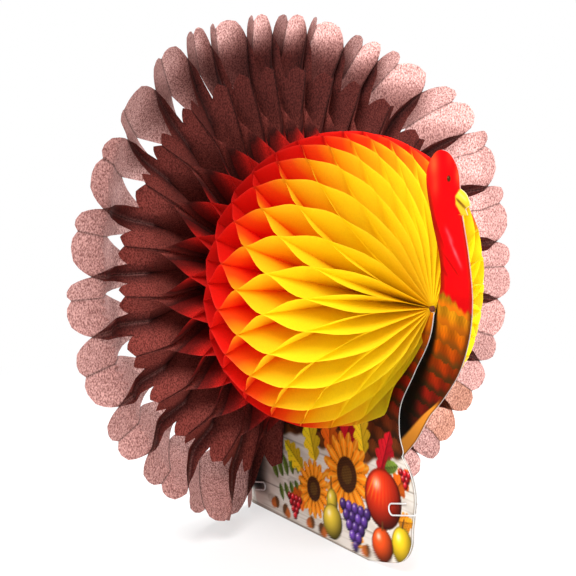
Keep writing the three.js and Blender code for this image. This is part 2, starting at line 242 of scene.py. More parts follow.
class TurkeyCards(bpy.types.PropertyGroup):
    """Sizes and print colours of the two cards."""

    thickness: size("Thickness", "Thickness of one card", 0.6)
    gap: size("Gap", "Distance between the two cards", 0.3)
    print_pitch: size("Print pitch", "Size of the smallest printed step", 0.8)
    head_pitch: size("Head print pitch", "Size of the smallest printed step on neck and head", 0.45)
    plank: colour("Plank", "Whitewashed wood", 224, 218, 209)
    grain: colour("Grain", "Grain and seams of the wood", 142, 126, 108)
    neck: colour("Neck", "Skin of neck and head", 240, 4, 16)
    neck_edge: colour("Neck edge", "Shaded edge of the neck", 138, 26, 8)
    beak: colour("Beak", "Upper part of the beak", 252, 212, 52)
    eye: colour("Eye", "Eye of the turkey", 74, 40, 16)
    apple: colour("Apple", "Skin of the apples", 226, 52, 24)
    pear: colour("Pear", "Skin of the pears", 226, 196, 62)
    petal: colour("Sunflower", "Petals of the sunflowers", 250, 140, 24)
    berry: colour("Berry", "Skin of the dark berries", 96, 60, 150)
    sprig: colour("Sprig", "Small green leaves", 108, 134, 52)
    cut_edge: colour("Cut edge", "Bare board along the cut edges", 240, 238, 234)


class TurkeyClips(bpy.types.PropertyGroup):
    """Wire and shape of the paper clips."""

    wire_radius: size("Wire radius", "Radius of the coated wire", 0.45)
    width: size("Width", "Width of the outer loop", 6.4)
    tongue_width: size("Tongue width", "Width of the inner loop", 4.8)
    depth: size("Depth", "Length of the outer loop on the card", 23.5)
    tongue_depth: size("Tongue depth", "Length of the inner loop on the card", 19)
    wire_end: size("Wire end", "Distance of the wire's ends from the card's edge", 6)
    coat: colour("Coat", "Plastic coat of the wire", 222, 223, 224)


class TurkeyCord(bpy.types.PropertyGroup):
    """Cotton cord through the middle of the fan."""

    radius: size("Radius", "Radius of the cord", 1.2)
    knot_radius: size("Knot radius", "Radius of the end knots", 1.9)
    knot_length: size("Knot length", "Length of the end knots", 1.2)
    lay: size("Lay", "Length of one turn of the strands", 5)
    cotton: colour("Cotton", "Dyed cotton of the cord", 104, 44, 14)


class TurkeyStage(bpy.types.PropertyGroup):
    """Floor, light and camera."""

    floor: colour("Floor", "Pale floor", 250, 250, 250)
    sky: number("Sky", "Strength of the even light", 0.53)
    key: number("Key light", "Power of the main lamp", 31.0)
    rim: number("Rim light", "Power of the lamp behind", 22.0)
    azimuth: turn("Azimuth", "Camera's turn round the figure", 59.35)
    elevation: turn("Elevation", "Camera's height angle", 7.94)
    distance: size("Distance", "Camera's distance from the middle of the tail", 912)
    lens: bpy.props.FloatProperty(name="Lens", description="Focal length", default=96.3, unit="CAMERA")


def smoothstep(value, low, high):
    """0 below low, 1 above high, and a soft rise between."""
    t = np.clip((value - low) / (high - low), 0.0, 1.0)
    return t * t * (3 - 2 * t)


def lerp(start, end, t):
    """The value part of the way from start to end."""
    return start + (end - start) * t


def bump(distance, width):
    """A soft bump of height 1."""
    return np.exp(-((distance / width) ** 2))


def new_piece(name, points, faces, materials):
    """A mesh object from points and faces, linked to the scene."""
    mesh = bpy.data.meshes.new(name)
    mesh.from_pydata([tuple(p) for p in points], [], faces)
    mesh.validate()
    for material in materials:
        mesh.materials.append(material)
    piece = bpy.data.objects.new(name, mesh)
    bpy.context.scene.collection.objects.link(piece)
    return piece


def store(mesh, name, values):
    """A number for each point of a mesh, for its material to read."""
    mesh.attributes.new(name, "FLOAT", "POINT").data.foreach_set("value", values.astype(np.float32))


def new_material(name):
    """A node material, its node tree and its Principled shader."""
    material = bpy.data.materials.new(name)
    material.use_nodes = True
    tree = material.node_tree
    return material, tree, tree.nodes["Principled BSDF"]


def object_noise(tree, scale, detail, stretch=(1, 1, 1)):
    """Noise that stays with its piece, stretched along the piece's own axes."""
    coordinates = tree.nodes.new("ShaderNodeTexCoord")
    mapping = tree.nodes.new("ShaderNodeMapping")
    mapping.inputs["Scale"].default_value = stretch
    noise = tree.nodes.new("ShaderNodeTexNoise")
    noise.inputs["Scale"].default_value = scale
    noise.inputs["Detail"].default_value = detail
    tree.links.new(coordinates.outputs["Object"], mapping.inputs["Vector"])
    tree.links.new(mapping.outputs["Vector"], noise.inputs["Vector"])
    return noise.outputs["Fac"]


def dimmed(shade, part):
    """A colour at a part of its light, at most full."""
    return tuple(min(1, part * c) for c in shade)


def ramp(tree, source, stops):
    """A colour ramp fed by a number, with its stops as (place, colour)."""
    node = tree.nodes.new("ShaderNodeValToRGB")
    elements = node.color_ramp.elements
    for element, (place, shade) in zip(elements, (stops[0], stops[-1])):
        element.position = place
        element.color = (*shade, 1)
    for place, shade in stops[1:-1]:
        elements.new(place).color = (*shade, 1)
    tree.links.new(source, node.inputs["Fac"])
    return node.outputs["Color"]


# Colour sockets of a Mix node
MIX_FIRST = 6
MIX_SECOND = 7
MIX_RESULT = 2


def mixed_colour(tree, blend, factor, first, second):
    """Two colours mixed; the factor is a number or a socket."""
    node = tree.nodes.new("ShaderNodeMix")
    node.data_type = "RGBA"
    node.blend_type = blend
    if isinstance(factor, (int, float)):
        node.inputs["Factor"].default_value = factor
    else:
        tree.links.new(factor, node.inputs["Factor"])
    tree.links.new(first, node.inputs[MIX_FIRST])
    tree.links.new(second, node.inputs[MIX_SECOND])
    return node.outputs[MIX_RESULT]


def shader_to_surface(tree, output, factor, first, second):
    """Two shader nodes mixed by a number, as the surface of a material or of the world."""
    both = tree.nodes.new("ShaderNodeMixShader")
    tree.links.new(factor, both.inputs["Fac"])
    tree.links.new(first.outputs[0], both.inputs[1])
    tree.links.new(second.outputs[0], both.inputs[2])
    tree.links.new(both.outputs["Shader"], tree.nodes[output].inputs["Surface"])


def combined(tree, operation, first, second):
    """Two numbers combined by a Math node."""
    node = tree.nodes.new("ShaderNodeMath")
    node.operation = operation
    tree.links.new(first, node.inputs[0])
    tree.links.new(second, node.inputs[1])
    return node.outputs[0]


def attribute(tree, name, output):
    """A number or a colour stored on the points of a mesh."""
    node = tree.nodes.new("ShaderNodeAttribute")
    node.attribute_name = name
    return node.outputs[output]


def number_attribute(tree, name):
    """A number stored on the points of a mesh."""
    return attribute(tree, name, "Fac")


def varied_gloss(tree, source, least, most, shader):
    """Roughness that a number varies between two limits."""
    node = tree.nodes.new("ShaderNodeMapRange")
    node.inputs["To Min"].default_value = least
    node.inputs["To Max"].default_value = most
    tree.links.new(source, node.inputs["Value"])
    tree.links.new(node.outputs["Result"], shader.inputs["Roughness"])


def add_bump(tree, height, strength, distance, shader):
    """Fine relief from a number, for a shader."""
    node = tree.nodes.new("ShaderNodeBump")
    node.inputs["Strength"].default_value = strength
    node.inputs["Distance"].default_value = distance
    tree.links.new(height, node.inputs["Height"])
    tree.links.new(node.outputs["Normal"], shader.inputs["Normal"])


# Tissue leaves


def boundary_shares():
    """Share of the turn at each boundary between leaves: 0 at the near card, 1 at the far card."""
    u = (np.arange(LEAF_COUNT) + 0.5) / LEAF_COUNT
    top = TOP_CROWDING * bump(u - 0.5, TOP_CROWD_WIDTH)
    cards = CARD_CROWDING * (bump(u, CARD_CROWD_WIDTH) + bump(1 - u, CARD_CROWD_WIDTH))
    rooms = 1 - top - cards
    return np.concatenate(([0.0], np.cumsum(rooms))) / rooms.sum()


SHARES = boundary_shares()
STRAY = np.random.default_rng(11).uniform(-1, 1, (3, LEAF_COUNT + 1, LAST_LINE + 2))


def depth_of(tissue, line):
    """Distance of a glue line behind the front end of the body."""
    return FIRST_LINE_DEPTH + (line - 1) * tissue.glue_spacing


def tail_share(tissue, radius):
    """How much a radius belongs to the tail: 0 on the body, 1 on both rows of petals."""
    return smoothstep(radius, tissue.body_radius, tissue.front_row_radius)


def pitch_at(boundary):
    """Angle from one leaf to the next at a boundary."""
    before = np.maximum(boundary - 1, 0)
    after = np.minimum(boundary + 1, LEAF_COUNT)
    return TURN * (SHARES[after] - SHARES[before]) / (after - before)


def held(boundary):
    """0 on the leaves that are stuck to the cards, 1 a few leaves further on."""
    return np.minimum(1, np.minimum(boundary, LEAF_COUNT - boundary) / HELD_LEAVES)


def crowding(boundary):
    """1 at the crowded top of the fan, 0 away from it."""
    return bump(SHARES[boundary] - 0.5, TOP_CROWD_WIDTH)


def settled(tissue, line, boundary):
    """How much closer to the cord the body sits on the far side and beside the cards."""
    around = SHARES[boundary]
    beside_cards = bump(around, BESIDE_WIDTH) + bump(1 - around, BESIDE_WIDTH)
    at_breast = beside_cards**3 * (1 - smoothstep(line, *BREAST_LINES))
    drop = tissue.far_side_drop * bump(around - FAR_SIDE, SETTLED_WIDTH) + tissue.low_drop * beside_cards
    return 1 - (drop + tissue.breast_drop * at_breast) * (1 - smoothstep(line, *SETTLED_LINES))


def drawn_in(tissue, line, boundary, radius):
    """How far a glue line moves along the cord when the fan is open."""
    spacing = tissue.glue_spacing
    spread = np.minimum(radius * pitch_at(boundary) * held(boundary), MOST_SPREAD * spacing)
    still = lerp(BODY_STILL_LINE, TAIL_STILL_LINE, tail_share(tissue, radius))
    return (line - still) * (spacing - np.sqrt(spacing**2 - spread**2))


def extra_reach(tissue, boundary, radius):
    """How much further the tail reaches than its cut radius, at the top and where it stands."""
    from_bottom = TURN * np.minimum(SHARES[boundary], 1 - SHARES[boundary])
    standing = np.where(from_bottom < REST_ANGLE, radius * (1 / np.cos(from_bottom) - 1), 0)
    return tail_share(tissue, radius) * (standing + TOP_REACH * crowding(boundary))


def points_on_lines(tissue, leaf, line, radius):
    """Points of a leaf on whole glue lines. Neighbours meet on alternate lines, so each leaf zigzags."""
    meets_next = (leaf + line + 1) % 2
    boundary = leaf + meets_next
    clip_room = smoothstep(radius, tissue.row_notch_radius, tissue.back_lobe_foot)
    open_turn = TURN - 2 * np.arcsin((CARD_ROOM + clip_room * CLIP_ROOM) / radius)
    angle = (TURN - open_turn) / 2 + SHARES[boundary] * open_turn
    stray = tail_share(tissue, radius) * held(boundary)
    swing = stray * pitch_at(boundary) * (tissue.tail_swing + tissue.top_swing * crowding(boundary))
    angle = angle + swing * STRAY[2][boundary, line]
    along = -depth_of(tissue, line) + drawn_in(tissue, line, boundary, radius)
    along = along + tissue.unevenness * stray * STRAY[0][boundary, line]
    reach = radius * settled(tissue, line, boundary) + extra_reach(tissue, boundary, radius)
    reach = reach + tissue.unevenness * stray * STRAY[1][boundary, line]
    return np.stack([along, -reach * np.sin(angle), -reach * np.cos(angle)], axis=1)


def leaf_angle(leaf):
    """Angle of the middle of a leaf, from straight down round by the near side."""
    return TURN * (SHARES[leaf] + SHARES[leaf + 1]) / 2


def leaf_points(tissue, leaf, line, radius):
    """Points of a leaf anywhere: it swings softly from one glue line to the next, with a few wrinkles."""
    before = np.floor(line).astype(int)
    t = (line - before)[:, None]
    start = points_on_lines(tissue, leaf, before, radius)
    end = points_on_lines(tissue, leaf, before + 1, radius)
    crisp = TAIL_CRISPNESS * smoothstep(line, LAST_BODY_LINE, WAIST_LINE)
    swing = lerp(t, smoothstep(t, 0, 1), tissue.roundness * (1 - crisp)[:, None])
    along, aside = lerp(start[:, :1], end[:, :1], t), lerp(start[:, 1:], end[:, 1:], swing)
    points = np.concatenate([along, aside], axis=1)
    phases = np.random.default_rng(leaf).uniform(0, TURN, len(WRINKLES))
    waves = 0
    for (by_line, by_radius, part), phase in zip(WRINKLES, phases):
        waves = waves + part * np.sin(by_line * line + by_radius * radius + phase)
    waves = waves * np.sin(np.pi * t[:, 0]) * smoothstep(radius, *SMOOTH_INNER_RADII)
    height = tissue.wrinkle / WRINKLES_SUM * waves
    angle = leaf_angle(leaf)
    across = np.array([0, -math.cos(angle), math.sin(angle)])
    return points + height[:, None] * across + np.array([POLE, 0, AXIS_HEIGHT])


def body_edge(tissue, line):
    """Radius of the round body at a glue line."""
    along = depth_of(tissue, line) / tissue.body_half_length - 1
    return tissue.body_radius * np.sqrt(np.maximum(0, 1 - along**2))


def edge_radius(tissue, line):
    """Radius of the cut edge of a leaf at a glue line."""
    body = np.maximum(tissue.pole_radius, body_edge(tissue, line))
    waist, front, notch = tissue.waist_radius, tissue.front_row_radius, tissue.row_notch_radius
    back = tissue.back_row_radius
    shoulder = tissue.back_row_shoulder
    rise = [(at, lerp(waist, front, part)) for at, part in FRONT_ROW_RISE]
    marks = [(LAST_BODY_LINE, body_edge(tissue, LAST_BODY_LINE)), *rise]
    marks += [(9.45, lerp(front, notch, 0.35)), (9.6, notch), (9.7, tissue.back_lobe_foot)]
    marks += [(9.8, lerp(notch, back - shoulder, 0.7)), (10, back - shoulder)]
    marks += [(10.15, back - shoulder * 0.5), (BACK_EDGE_LINE, back - shoulder / 8), (10.6, back)]
    marks += [(10.8, back - shoulder / 16), (LAST_LINE, back - shoulder / 3)]
    tail = np.interp(line, *zip(*marks))
    return np.where(line <= LAST_BODY_LINE, body, tail)


def leaf_pattern(tissue):
    """The flat leaf: glue line, radius and distance from the cut edge of each point, and the faces."""
    pole_line = 1 - FIRST_LINE_DEPTH / tissue.glue_spacing
    beside_creases = [8.96, 9.04, 9.96, 10.04]
    even = np.concatenate([np.linspace(1, 9, 49), np.linspace(9, 10.3, 14)])
    full_lines = np.unique(np.concatenate([[pole_line, 8.9], even, beside_creases]).round(6))
    full_lines = np.append(full_lines, BACK_EDGE_LINE)
    lobe_lines = np.append(np.linspace(BACK_EDGE_LINE, 10.9, 7)[1:], [10.96, LAST_LINE])
    inner_rows = np.linspace(0, 1, 7)[:-1]
    outer_rows = np.array([0, 0.15, 0.29, 0.42, 0.54, 0.65, 0.75, 0.84, 0.91, 0.965, 1])
    notch = tissue.back_notch_radius
    columns = []
    for line in full_lines:
        edge = float(edge_radius(tissue, line))
        split = lerp(0.6 * edge, notch, float(smoothstep(line, 8.9, 9.6)))
        inner, outer = lerp(LEAF_INNER_RADIUS, split, inner_rows), lerp(split, edge, outer_rows)
        columns.append((line, np.concatenate([inner, outer])))
    for line in lobe_lines:
        part = (line - BACK_EDGE_LINE) / (LAST_LINE - BACK_EDGE_LINE)
        foot = lerp(notch, tissue.back_lobe_foot, part)
        columns.append((line, lerp(foot, float(edge_radius(tissue, line)), outer_rows)))
    line = np.concatenate([np.full(len(radii), at) for at, radii in columns])
    radius = np.concatenate([radii for _, radii in columns])
    to_edge = np.concatenate([radii[-1] - radii for _, radii in columns])
    starts = np.cumsum([0] + [len(radii) for _, radii in columns])
    faces = []
    for c in range(1, len(columns)):
        skipped = len(columns[c - 1][1]) - len(columns[c][1])
        for row in range(len(columns[c][1]) - 1):
            left = int(starts[c - 1]) + skipped + row
            right = int(starts[c]) + row
            faces.append((left, right, right + 1, left + 1))
    return line, radius, to_edge, faces


def dye_and_shade_depth(tissue, leaf, line, radius, to_edge):
    """How far along the dye and its painted shade a point of a leaf lies, from 0 at the pole to 1 at the
    back petals.
    """
    crowd = crowding(leaf)
    notch = tissue.back_notch_radius
    # Front row and spikes: from the waist through painted shade at 8.5 to maroon tips
    row = ROW_DARKENING * smoothstep(radius, 1.08 * tissue.waist_radius, 1.1 * notch)
    back_face = ROW_DARKENING * smoothstep(line, *BACK_FACE_LINES)
    spike = SPIKE_DARKENING * smoothstep(line, *SPIKE_LINES)
    # Painted shade on the crowded top of the front row
    painted_top_shade = TOP_PAINTED_SHADE * crowd * smoothstep(radius, 1.1 * tissue.waist_radius, notch)
    front = np.maximum(np.maximum(row, back_face), spike) + painted_top_shade
    crown = tissue.crown_dye * bump(SHARES[leaf] - CROWN_SIDE, CROWN_WIDTH)
    # Painted warm shade inside the cells, away from the cut edges
    inner = tissue.painted_inner_shade * smoothstep(to_edge, *INNER_SHADE_REACH)
    run = (inner + crown) * (1 - smoothstep(line, *RUN_LINES))
    depth = np.where(line <= WAIST_LINE, line + run, WAIST_LINE + front)
    # Back petals, with painted shade in the band between the rows
    petals = np.interp(line, *zip(*PETAL_DYE_AND_SHADE))
    # Painted shade on the feet of the back petals at the crowded top
    foot = crowd * (1 - smoothstep(radius, 1.03 * tissue.back_lobe_foot, 1.03 * tissue.back_row_radius))
    petals = lerp(petals, np.minimum(petals, SHADOW_DEPTH), foot)
    in_petals = (line > PETAL_LINE) & (radius > 0.95 * notch)
    depth = np.where(in_petals, np.maximum(depth, petals), depth)
    return depth / LAST_LINE


def grey(level):
    """A grey of one level."""
    return (level, level, level)


def along_dye(tree, depth, stops):
    """A ramp along the dye, with its stops as (glue line, colour)."""
    return ramp(tree, depth, [(line / LAST_LINE, tuple(shade)) for line, shade in stops])


def tissue_material(tissue):
    """Thin dyed tissue: colour along the dye with its painted shade, cottony fibres, paler cut edges, and
    light through it.
    """
    material, tree, paper = new_material("dyed_tissue")
    depth = number_attribute(tree, "dye")
    dye_and_shade_stops = [
        (0.7, tissue.pole_dye),
        (1.8, tissue.yellow_dye),
        (2.8, tissue.yellow_dye),
        (3.4, tissue.gold_dye),
        (4.0, tissue.orange_dye),
        (4.6, tissue.flame_dye),
        (5.2, tissue.red_dye),
        (6.8, tissue.deep_red_dye),
        (8.0, tissue.wine_dye),
        # The stops at 8.5 and at SHADOW_DEPTH are painted shade, not dye
        (8.5, tissue.painted_shade),
        (8.95, tissue.maroon_dye),
        (SHADOW_DEPTH, tissue.painted_shade),
        (PETAL_DEPTH, tissue.petal_dye),
    ]
    tint = [(0.1, grey(1)), (0.9, tuple(tissue.copper_tint))]
    copper = ramp(tree, number_attribute(tree, "copper"), tint)
    dyed = mixed_colour(tree, "MULTIPLY", 1.0, along_dye(tree, depth, dye_and_shade_stops), copper)
    fibres = object_noise(tree, 1400, 3, (1, 1, 0.6))
    cotton = ramp(tree, fibres, [(0.36, (0.3, 0.2, 0.2)), (0.64, grey(1))])
    amount = along_dye(tree, depth, [(7, grey(0.07)), (9, grey(0.95))])
    fold = [(0.1, grey(1)), (0.9, grey(1 - tissue.crease_shade))]
    crease = ramp(tree, number_attribute(tree, "crease"), fold)
    mottle = mixed_colour(tree, "MULTIPLY", amount, crease, cotton)
    mottled = mixed_colour(tree, "MULTIPLY", 1.0, dyed, mottle)
    paler = tree.nodes.new("ShaderNodeHueSaturation")
    paler.inputs["Saturation"].default_value = 0.98
    paler.inputs["Value"].default_value = 1.12
    tree.links.new(mottled, paler.inputs["Color"])
    edge = number_attribute(tree, "edge")
    finish = mixed_colour(tree, "MIX", edge, mottled, paler.outputs["Color"])
    tree.links.new(finish, paper.inputs["Base Color"])
    paper.inputs["Roughness"].default_value = 0.85
    paper.inputs["Specular IOR Level"].default_value = 0.2
    add_bump(tree, fibres, 0.25, 0.15 * MM, paper)
    through = [
        (3.4, tissue.body_glow),
        (5.2, tissue.red_dye),
        (SHADOW_DEPTH, tissue.maroon_dye),
        (PETAL_DEPTH, tissue.petal_glow),
    ]
    glowing = mixed_colour(tree, "MIX", tissue.glow_share, dyed, along_dye(tree, depth, through))
    glow = tree.nodes.new("ShaderNodeBsdfTranslucent")
    tree.links.new(mixed_colour(tree, "MULTIPLY", 1.0, glowing, mottle), glow.inputs["Color"])
    clear = grey(tissue.see_through)
    dense = grey(tissue.see_through * tissue.front_row_clear)
    clearness = [(6.8, clear), (8.5, dense), (SHADOW_DEPTH, dense), (PETAL_DEPTH, clear)]
    passing = along_dye(tree, depth, clearness)
    shader_to_surface(tree, "Material Output", passing, paper, glow)
    return material


class TURKEY_OT_leaves(bpy.types.Operator):
    """Cut, crease and dye every tissue leaf of the fan, and paint its shade"""

    bl_idname = "turkey.leaves"
    bl_label = "Tissue leaves"

    def execute(self, context):
        tissue = context.scene.turkey_tissue
        material = tissue_material(tissue)
        line, radius, to_edge, faces = leaf_pattern(tissue)
        notch = tissue.back_notch_radius
        edge = np.exp(-to_edge / PALE_EDGE_WIDTH)
        from_line = np.abs(line - np.round(line)) * tissue.glue_spacing
        crease = np.exp(-from_line / CREASE_WIDTH) * smoothstep(radius, tissue.waist_radius, notch)
        past_notch = smoothstep(radius, notch, tissue.back_lobe_foot)
        petal = smoothstep(line, PETAL_LINE, FULL_PETAL_LINE) * past_notch
        for leaf, node in enumerate(LEAF_NODES):
            name = node.replace("tissue_leaf", "tissue_sheet")
            angle = leaf_angle(leaf)
            has_copper = abs(angle / TURN - COPPER_SIDE) < COPPER_WIDTH
            sheet = new_piece(name, leaf_points(tissue, leaf, line, radius), faces, [material])
            # The dye attribute also carries the painted shade of the cells and of the tail
            store(sheet.data, "dye", dye_and_shade_depth(tissue, leaf, line, radius, to_edge))
            store(sheet.data, "copper", has_copper * petal)
            store(sheet.data, "crease", crease)
            store(sheet.data, "edge", edge)
            sheet.data.shade_smooth()
            sheet.data.set_sharp_from_angle(angle=SHARP_TISSUE)
            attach(sheet, node)
            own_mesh(sheet)
            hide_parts(node)
        return {"FINISHED"}


# Cards. Outlines are in hundredths of the axis height. Other places are in metres from the middle of the
# base and up from the table.


HUNDREDTH = AXIS_HEIGHT / 100
CARD_TOP = AXIS_HEIGHT - LEAF_INNER_RADIUS
FAR_CARD_TOP = AXIS_HEIGHT - 12 * MM
REAR_SHOULDER = 0.3 * AXIS_HEIGHT
REAR_TOP_LINES = 9.35
REAR_TOP = POLE_X - (FIRST_LINE_DEPTH + REAR_TOP_LINES * GLUE_SPACING_MM * MM)
FRONT_OF_BASE = [(-16, 3), (-7.3, 6), (-2.3, 12), (-1.3, 20), (0, 30.5), (-2.7, 38.5), (-8.6, 44.2)]
NEAR_BREAST = [(-15.6, 46.5), (-18, 52.5), (-17.3, 63), (-9.3, 75.7), (-2.7, 87.7)]
FAR_BREAST = [(-8.3, 52), (-0.7, 62), (6.6, 69), (16, 80.4), (21.3, 93), (22.6, 106.3)]
THROAT = [(20, 121), (16.3, 133.5)]
BEAK = [(19.3, 133.9), (18, 135.9), (20.6, 137.2), (19.3, 141.2), (15, 142.2)]
CROWN = [(13.6, 148.8), (8.6, 153.8), (2, 154.2)]
NAPE = [(-3.3, 148.8), (-4, 142.2), (-0.7, 131), (4, 118.3), (4.7, 108.3), (2.2, 99.7), (0.6, 96.2)]
FOOT_OF_NAPE = (POLE_X - 0.6 * HUNDREDTH, FAR_CARD_TOP)
CURVE_STEPS = 10
NEAR_CARD_LAP = 3.2 * MM
LAP_HEIGHTS = (0.75 * AXIS_HEIGHT, 0.95 * AXIS_HEIGHT)
BELOW_CROWN = 0.02 * MM
LEAST_RISE = 1e-9


def drawn(start, points):
    """Outline points from hundredths of the axis height, counted along X from a start."""
    return np.array([(start + x * HUNDREDTH, z * HUNDREDTH) for x, z in points])


def smooth_curve(points):
    """A curve through points, with the same slopes as the cards were cut with."""
    points = np.array(points)
    padded = np.concatenate([points[:1], points, points[-1:]])
    t = np.linspace(0, 1, CURVE_STEPS, endpoint=False)[:, None]
    runs = []
    for p0, p1, p2, p3 in zip(padded, padded[1:], padded[2:], padded[3:]):
        v0, v1 = (p2 - p0) / 2, (p3 - p1) / 2
        a = 2 * p1 - 2 * p2 + v0 + v1
        b = -3 * p1 + 3 * p2 - 2 * v0 - v1
        runs.append(a * t**3 + b * t**2 + v0 * t + p1)
    return np.concatenate([*runs, points[-1:]])


def rear_edge(top):
    """Rear edge of the base, from the table up to the spine."""
    t = np.linspace(0, 1, 3 * CURVE_STEPS)[:, None]
    start = np.array([-BASE_END, REAR_SHOULDER])
    lift = np.array([-BASE_END, top / 2])
    lean = np.array([REAR_TOP, lerp(top, REAR_SHOULDER, 0.6)])
    end = np.array([REAR_TOP, top])
    curve = start * (1 - t) ** 3 + 3 * lift * t * (1 - t) ** 2 + 3 * lean * t**2 * (1 - t) + end * t**3
    return np.concatenate([[[-BASE_END, 0]], curve])


def base_front():
    """Front of the base, from the table up to the breast."""
    return smooth_curve([(BASE_END / 2, 0), *drawn(BASE_END, FRONT_OF_BASE)])


def near_front():
    """Front edge of the near card."""
    pole = POLE_X - FIT_CLEARANCE
    base = base_front()
    breast = smooth_curve([base[-1], *drawn(pole, NEAR_BREAST), (pole, CARD_TOP)])
    front = np.concatenate([base, breast[1:]])
    front[:, 0] += NEAR_CARD_LAP * smoothstep(front[:, 1], *LAP_HEIGHTS)
    return front


def far_front():
    """Front edge of the far card: breast, throat, beak and brow up to the crown."""
    base = base_front()
    breast = smooth_curve([base[-1], *drawn(POLE_X, FAR_BREAST + THROAT)])
    chin, mouth, tip, top, brow = drawn(POLE_X, BEAK)
    t = np.linspace(0, 1, CURVE_STEPS)[:, None]
    bill = tip * (1 - t) ** 2 + 2 * top * t * (1 - t) + brow * t**2
    skull = smooth_curve([brow, *drawn(POLE_X, CROWN + NAPE), FOOT_OF_NAPE])
    highest = int(skull[:, 1].argmax())
    front = np.concatenate([base, breast[1:], [chin, mouth], bill, skull[1 : highest + 1]])
    return front, skull[highest:][::-1]


def across_at(edge, heights):
    """Places along X of an edge at some heights."""
    rising = np.maximum.accumulate(edge[:, 1] + np.arange(len(edge)) * LEAST_RISE)
    return np.interp(heights, rising, edge[:, 0])


def grid_rows(left, right, heights, count):
    """Rows of points between two edges, as an array of rows, columns and (x, z)."""
    t = np.linspace(0, 1, count)
    x = lerp(left[:, None], right[:, None], t)
    return np.stack([x, np.repeat(heights[:, None], count, axis=1)], axis=2)


def grid_faces(first, rows, columns):
    """Faces of a grid whose points are numbered row by row from first."""
    index = first + np.arange(rows * columns).reshape(rows, columns)
    corners = (index[:-1, :-1], index[:-1, 1:], index[1:, 1:], index[1:, :-1])
    return np.stack([c.ravel() for c in corners], axis=1)


def near_card_grid(cards):
    """Flat points and faces of the near card."""
    pitch = cards.print_pitch
    heights = np.linspace(0, CARD_TOP, int(CARD_TOP / pitch))
    left = across_at(rear_edge(CARD_TOP), heights)
    right = across_at(near_front(), heights)
    columns = int(2 * BASE_END / pitch)
    grid = grid_rows(left, right, heights, columns)
    return grid.reshape(-1, 2), grid_faces(0, len(heights), columns)


def far_card_grid(cards):
    """Flat points and faces of the far card: base and breast, then neck and head on top of them."""
    pitch, fine = cards.print_pitch, cards.head_pitch
    front, nape = far_front()
    heights = np.linspace(0, FAR_CARD_TOP, int(FAR_CARD_TOP / pitch))
    left = across_at(rear_edge(FAR_CARD_TOP), heights)
    right = across_at(front, heights)
    neck_left, neck_right = nape[0][0], float(across_at(front, FAR_CARD_TOP))
    part = (neck_left - left[-1]) / (neck_right - left[-1])
    split = lerp(left, right, part)
    wide = int((neck_left - left[-1]) / pitch)
    narrow = int((neck_right - neck_left) / fine)
    rear, breast = grid_rows(left, split, heights, wide), grid_rows(split, right, heights, narrow)
    body = np.concatenate([rear, breast[:, 1:]], axis=1)
    crown = nape[:, 1].max() - BELOW_CROWN
    neck_heights = np.linspace(FAR_CARD_TOP, crown, int((crown - FAR_CARD_TOP) / fine))[1:]
    neck = grid_rows(across_at(nape, neck_heights), across_at(front, neck_heights), neck_heights, narrow)
    points = np.concatenate([body.reshape(-1, 2), neck.reshape(-1, 2)])
    columns = body.shape[1]
    first_neck = body.shape[0] * columns
    seam = np.arange(first_neck - narrow, first_neck)
    above = np.arange(first_neck, first_neck + narrow)
    join = np.stack([seam[:-1], seam[1:], above[1:], above[:-1]], axis=1)
    faces = [grid_faces(0, body.shape[0], columns), join, grid_faces(first_neck, neck.shape[0], narrow)]
    return points, np.concatenate(faces)


def board(points, faces, nearest, thickness):
    """A flat grid as a board: both faces, and a wall along the cut edge."""
    count = len(points)
    x, z = points[:, 0] + BASE_MIDDLE, points[:, 1]
    near = np.stack([x, np.full(count, nearest), z], axis=1)
    far = near + (0, thickness, 0)
    edges = np.stack([faces, np.roll(faces, -1, axis=1)], axis=2).reshape(-1, 2)
    keys = np.sort(edges, axis=1) @ np.array([count, 1])
    _, first, uses = np.unique(keys, return_index=True, return_counts=True)
    rim = edges[first[uses == 1]]
    walls = np.stack([rim[:, 1], rim[:, 0], rim[:, 0] + count, rim[:, 1] + count], axis=1)
    every = np.concatenate([faces, faces[:, ::-1] + count, walls])
    return np.concatenate([near, far]), every.tolist(), len(walls)


# Print. Places are in millimetres from the middle of the base and up from the table, colours in sRGB.


class Print:
    """A sheet of ink: places of its points, and the colour that each has so far."""

    def __init__(self, points):
        self.x = points[:, 0] / MM
        self.z = points[:, 1] / MM
        self.ink = np.ones((len(points), 3))

    def lay(self, cover, shade):
        """Ink of one shade, or one for each point, where cover is above 0."""
        cover = np.clip(cover, 0, 1)[:, None]
        self.ink = self.ink * (1 - cover) + np.asarray(shade) * cover

    def darken(self, cover, most):
        """Shade the ink where cover is above 0, down to a share of its light."""
        self.ink = self.ink * (1 - np.clip(cover, 0, 1)[:, None] * (1 - most))


SOFT_EDGE = 0.7


def inside(distance):
    """Cover from a distance to an outline, with a soft edge."""
    return np.clip(0.5 - distance / SOFT_EDGE, 0, 1)


def screen(shade):
    """sRGB of a linear colour setting."""
    c = np.array(shade)
    return np.where(c <= 0.0031308, 12.92 * c, 1.055 * np.maximum(c, 1e-9) ** (1 / 2.4) - 0.055)


def rgb(red, green, blue):
    """An sRGB colour from channels of 0 to 255."""
    return np.array([red, green, blue]) / 255


def local(sheet, x, z, degrees):
    """Places of a print's points seen from one point, with the first axis turned by an angle."""
    a = math.radians(degrees)
    dx, dz = sheet.x - x, sheet.z - z
    return dx * math.cos(a) + dz * math.sin(a), dz * math.cos(a) - dx * math.sin(a)


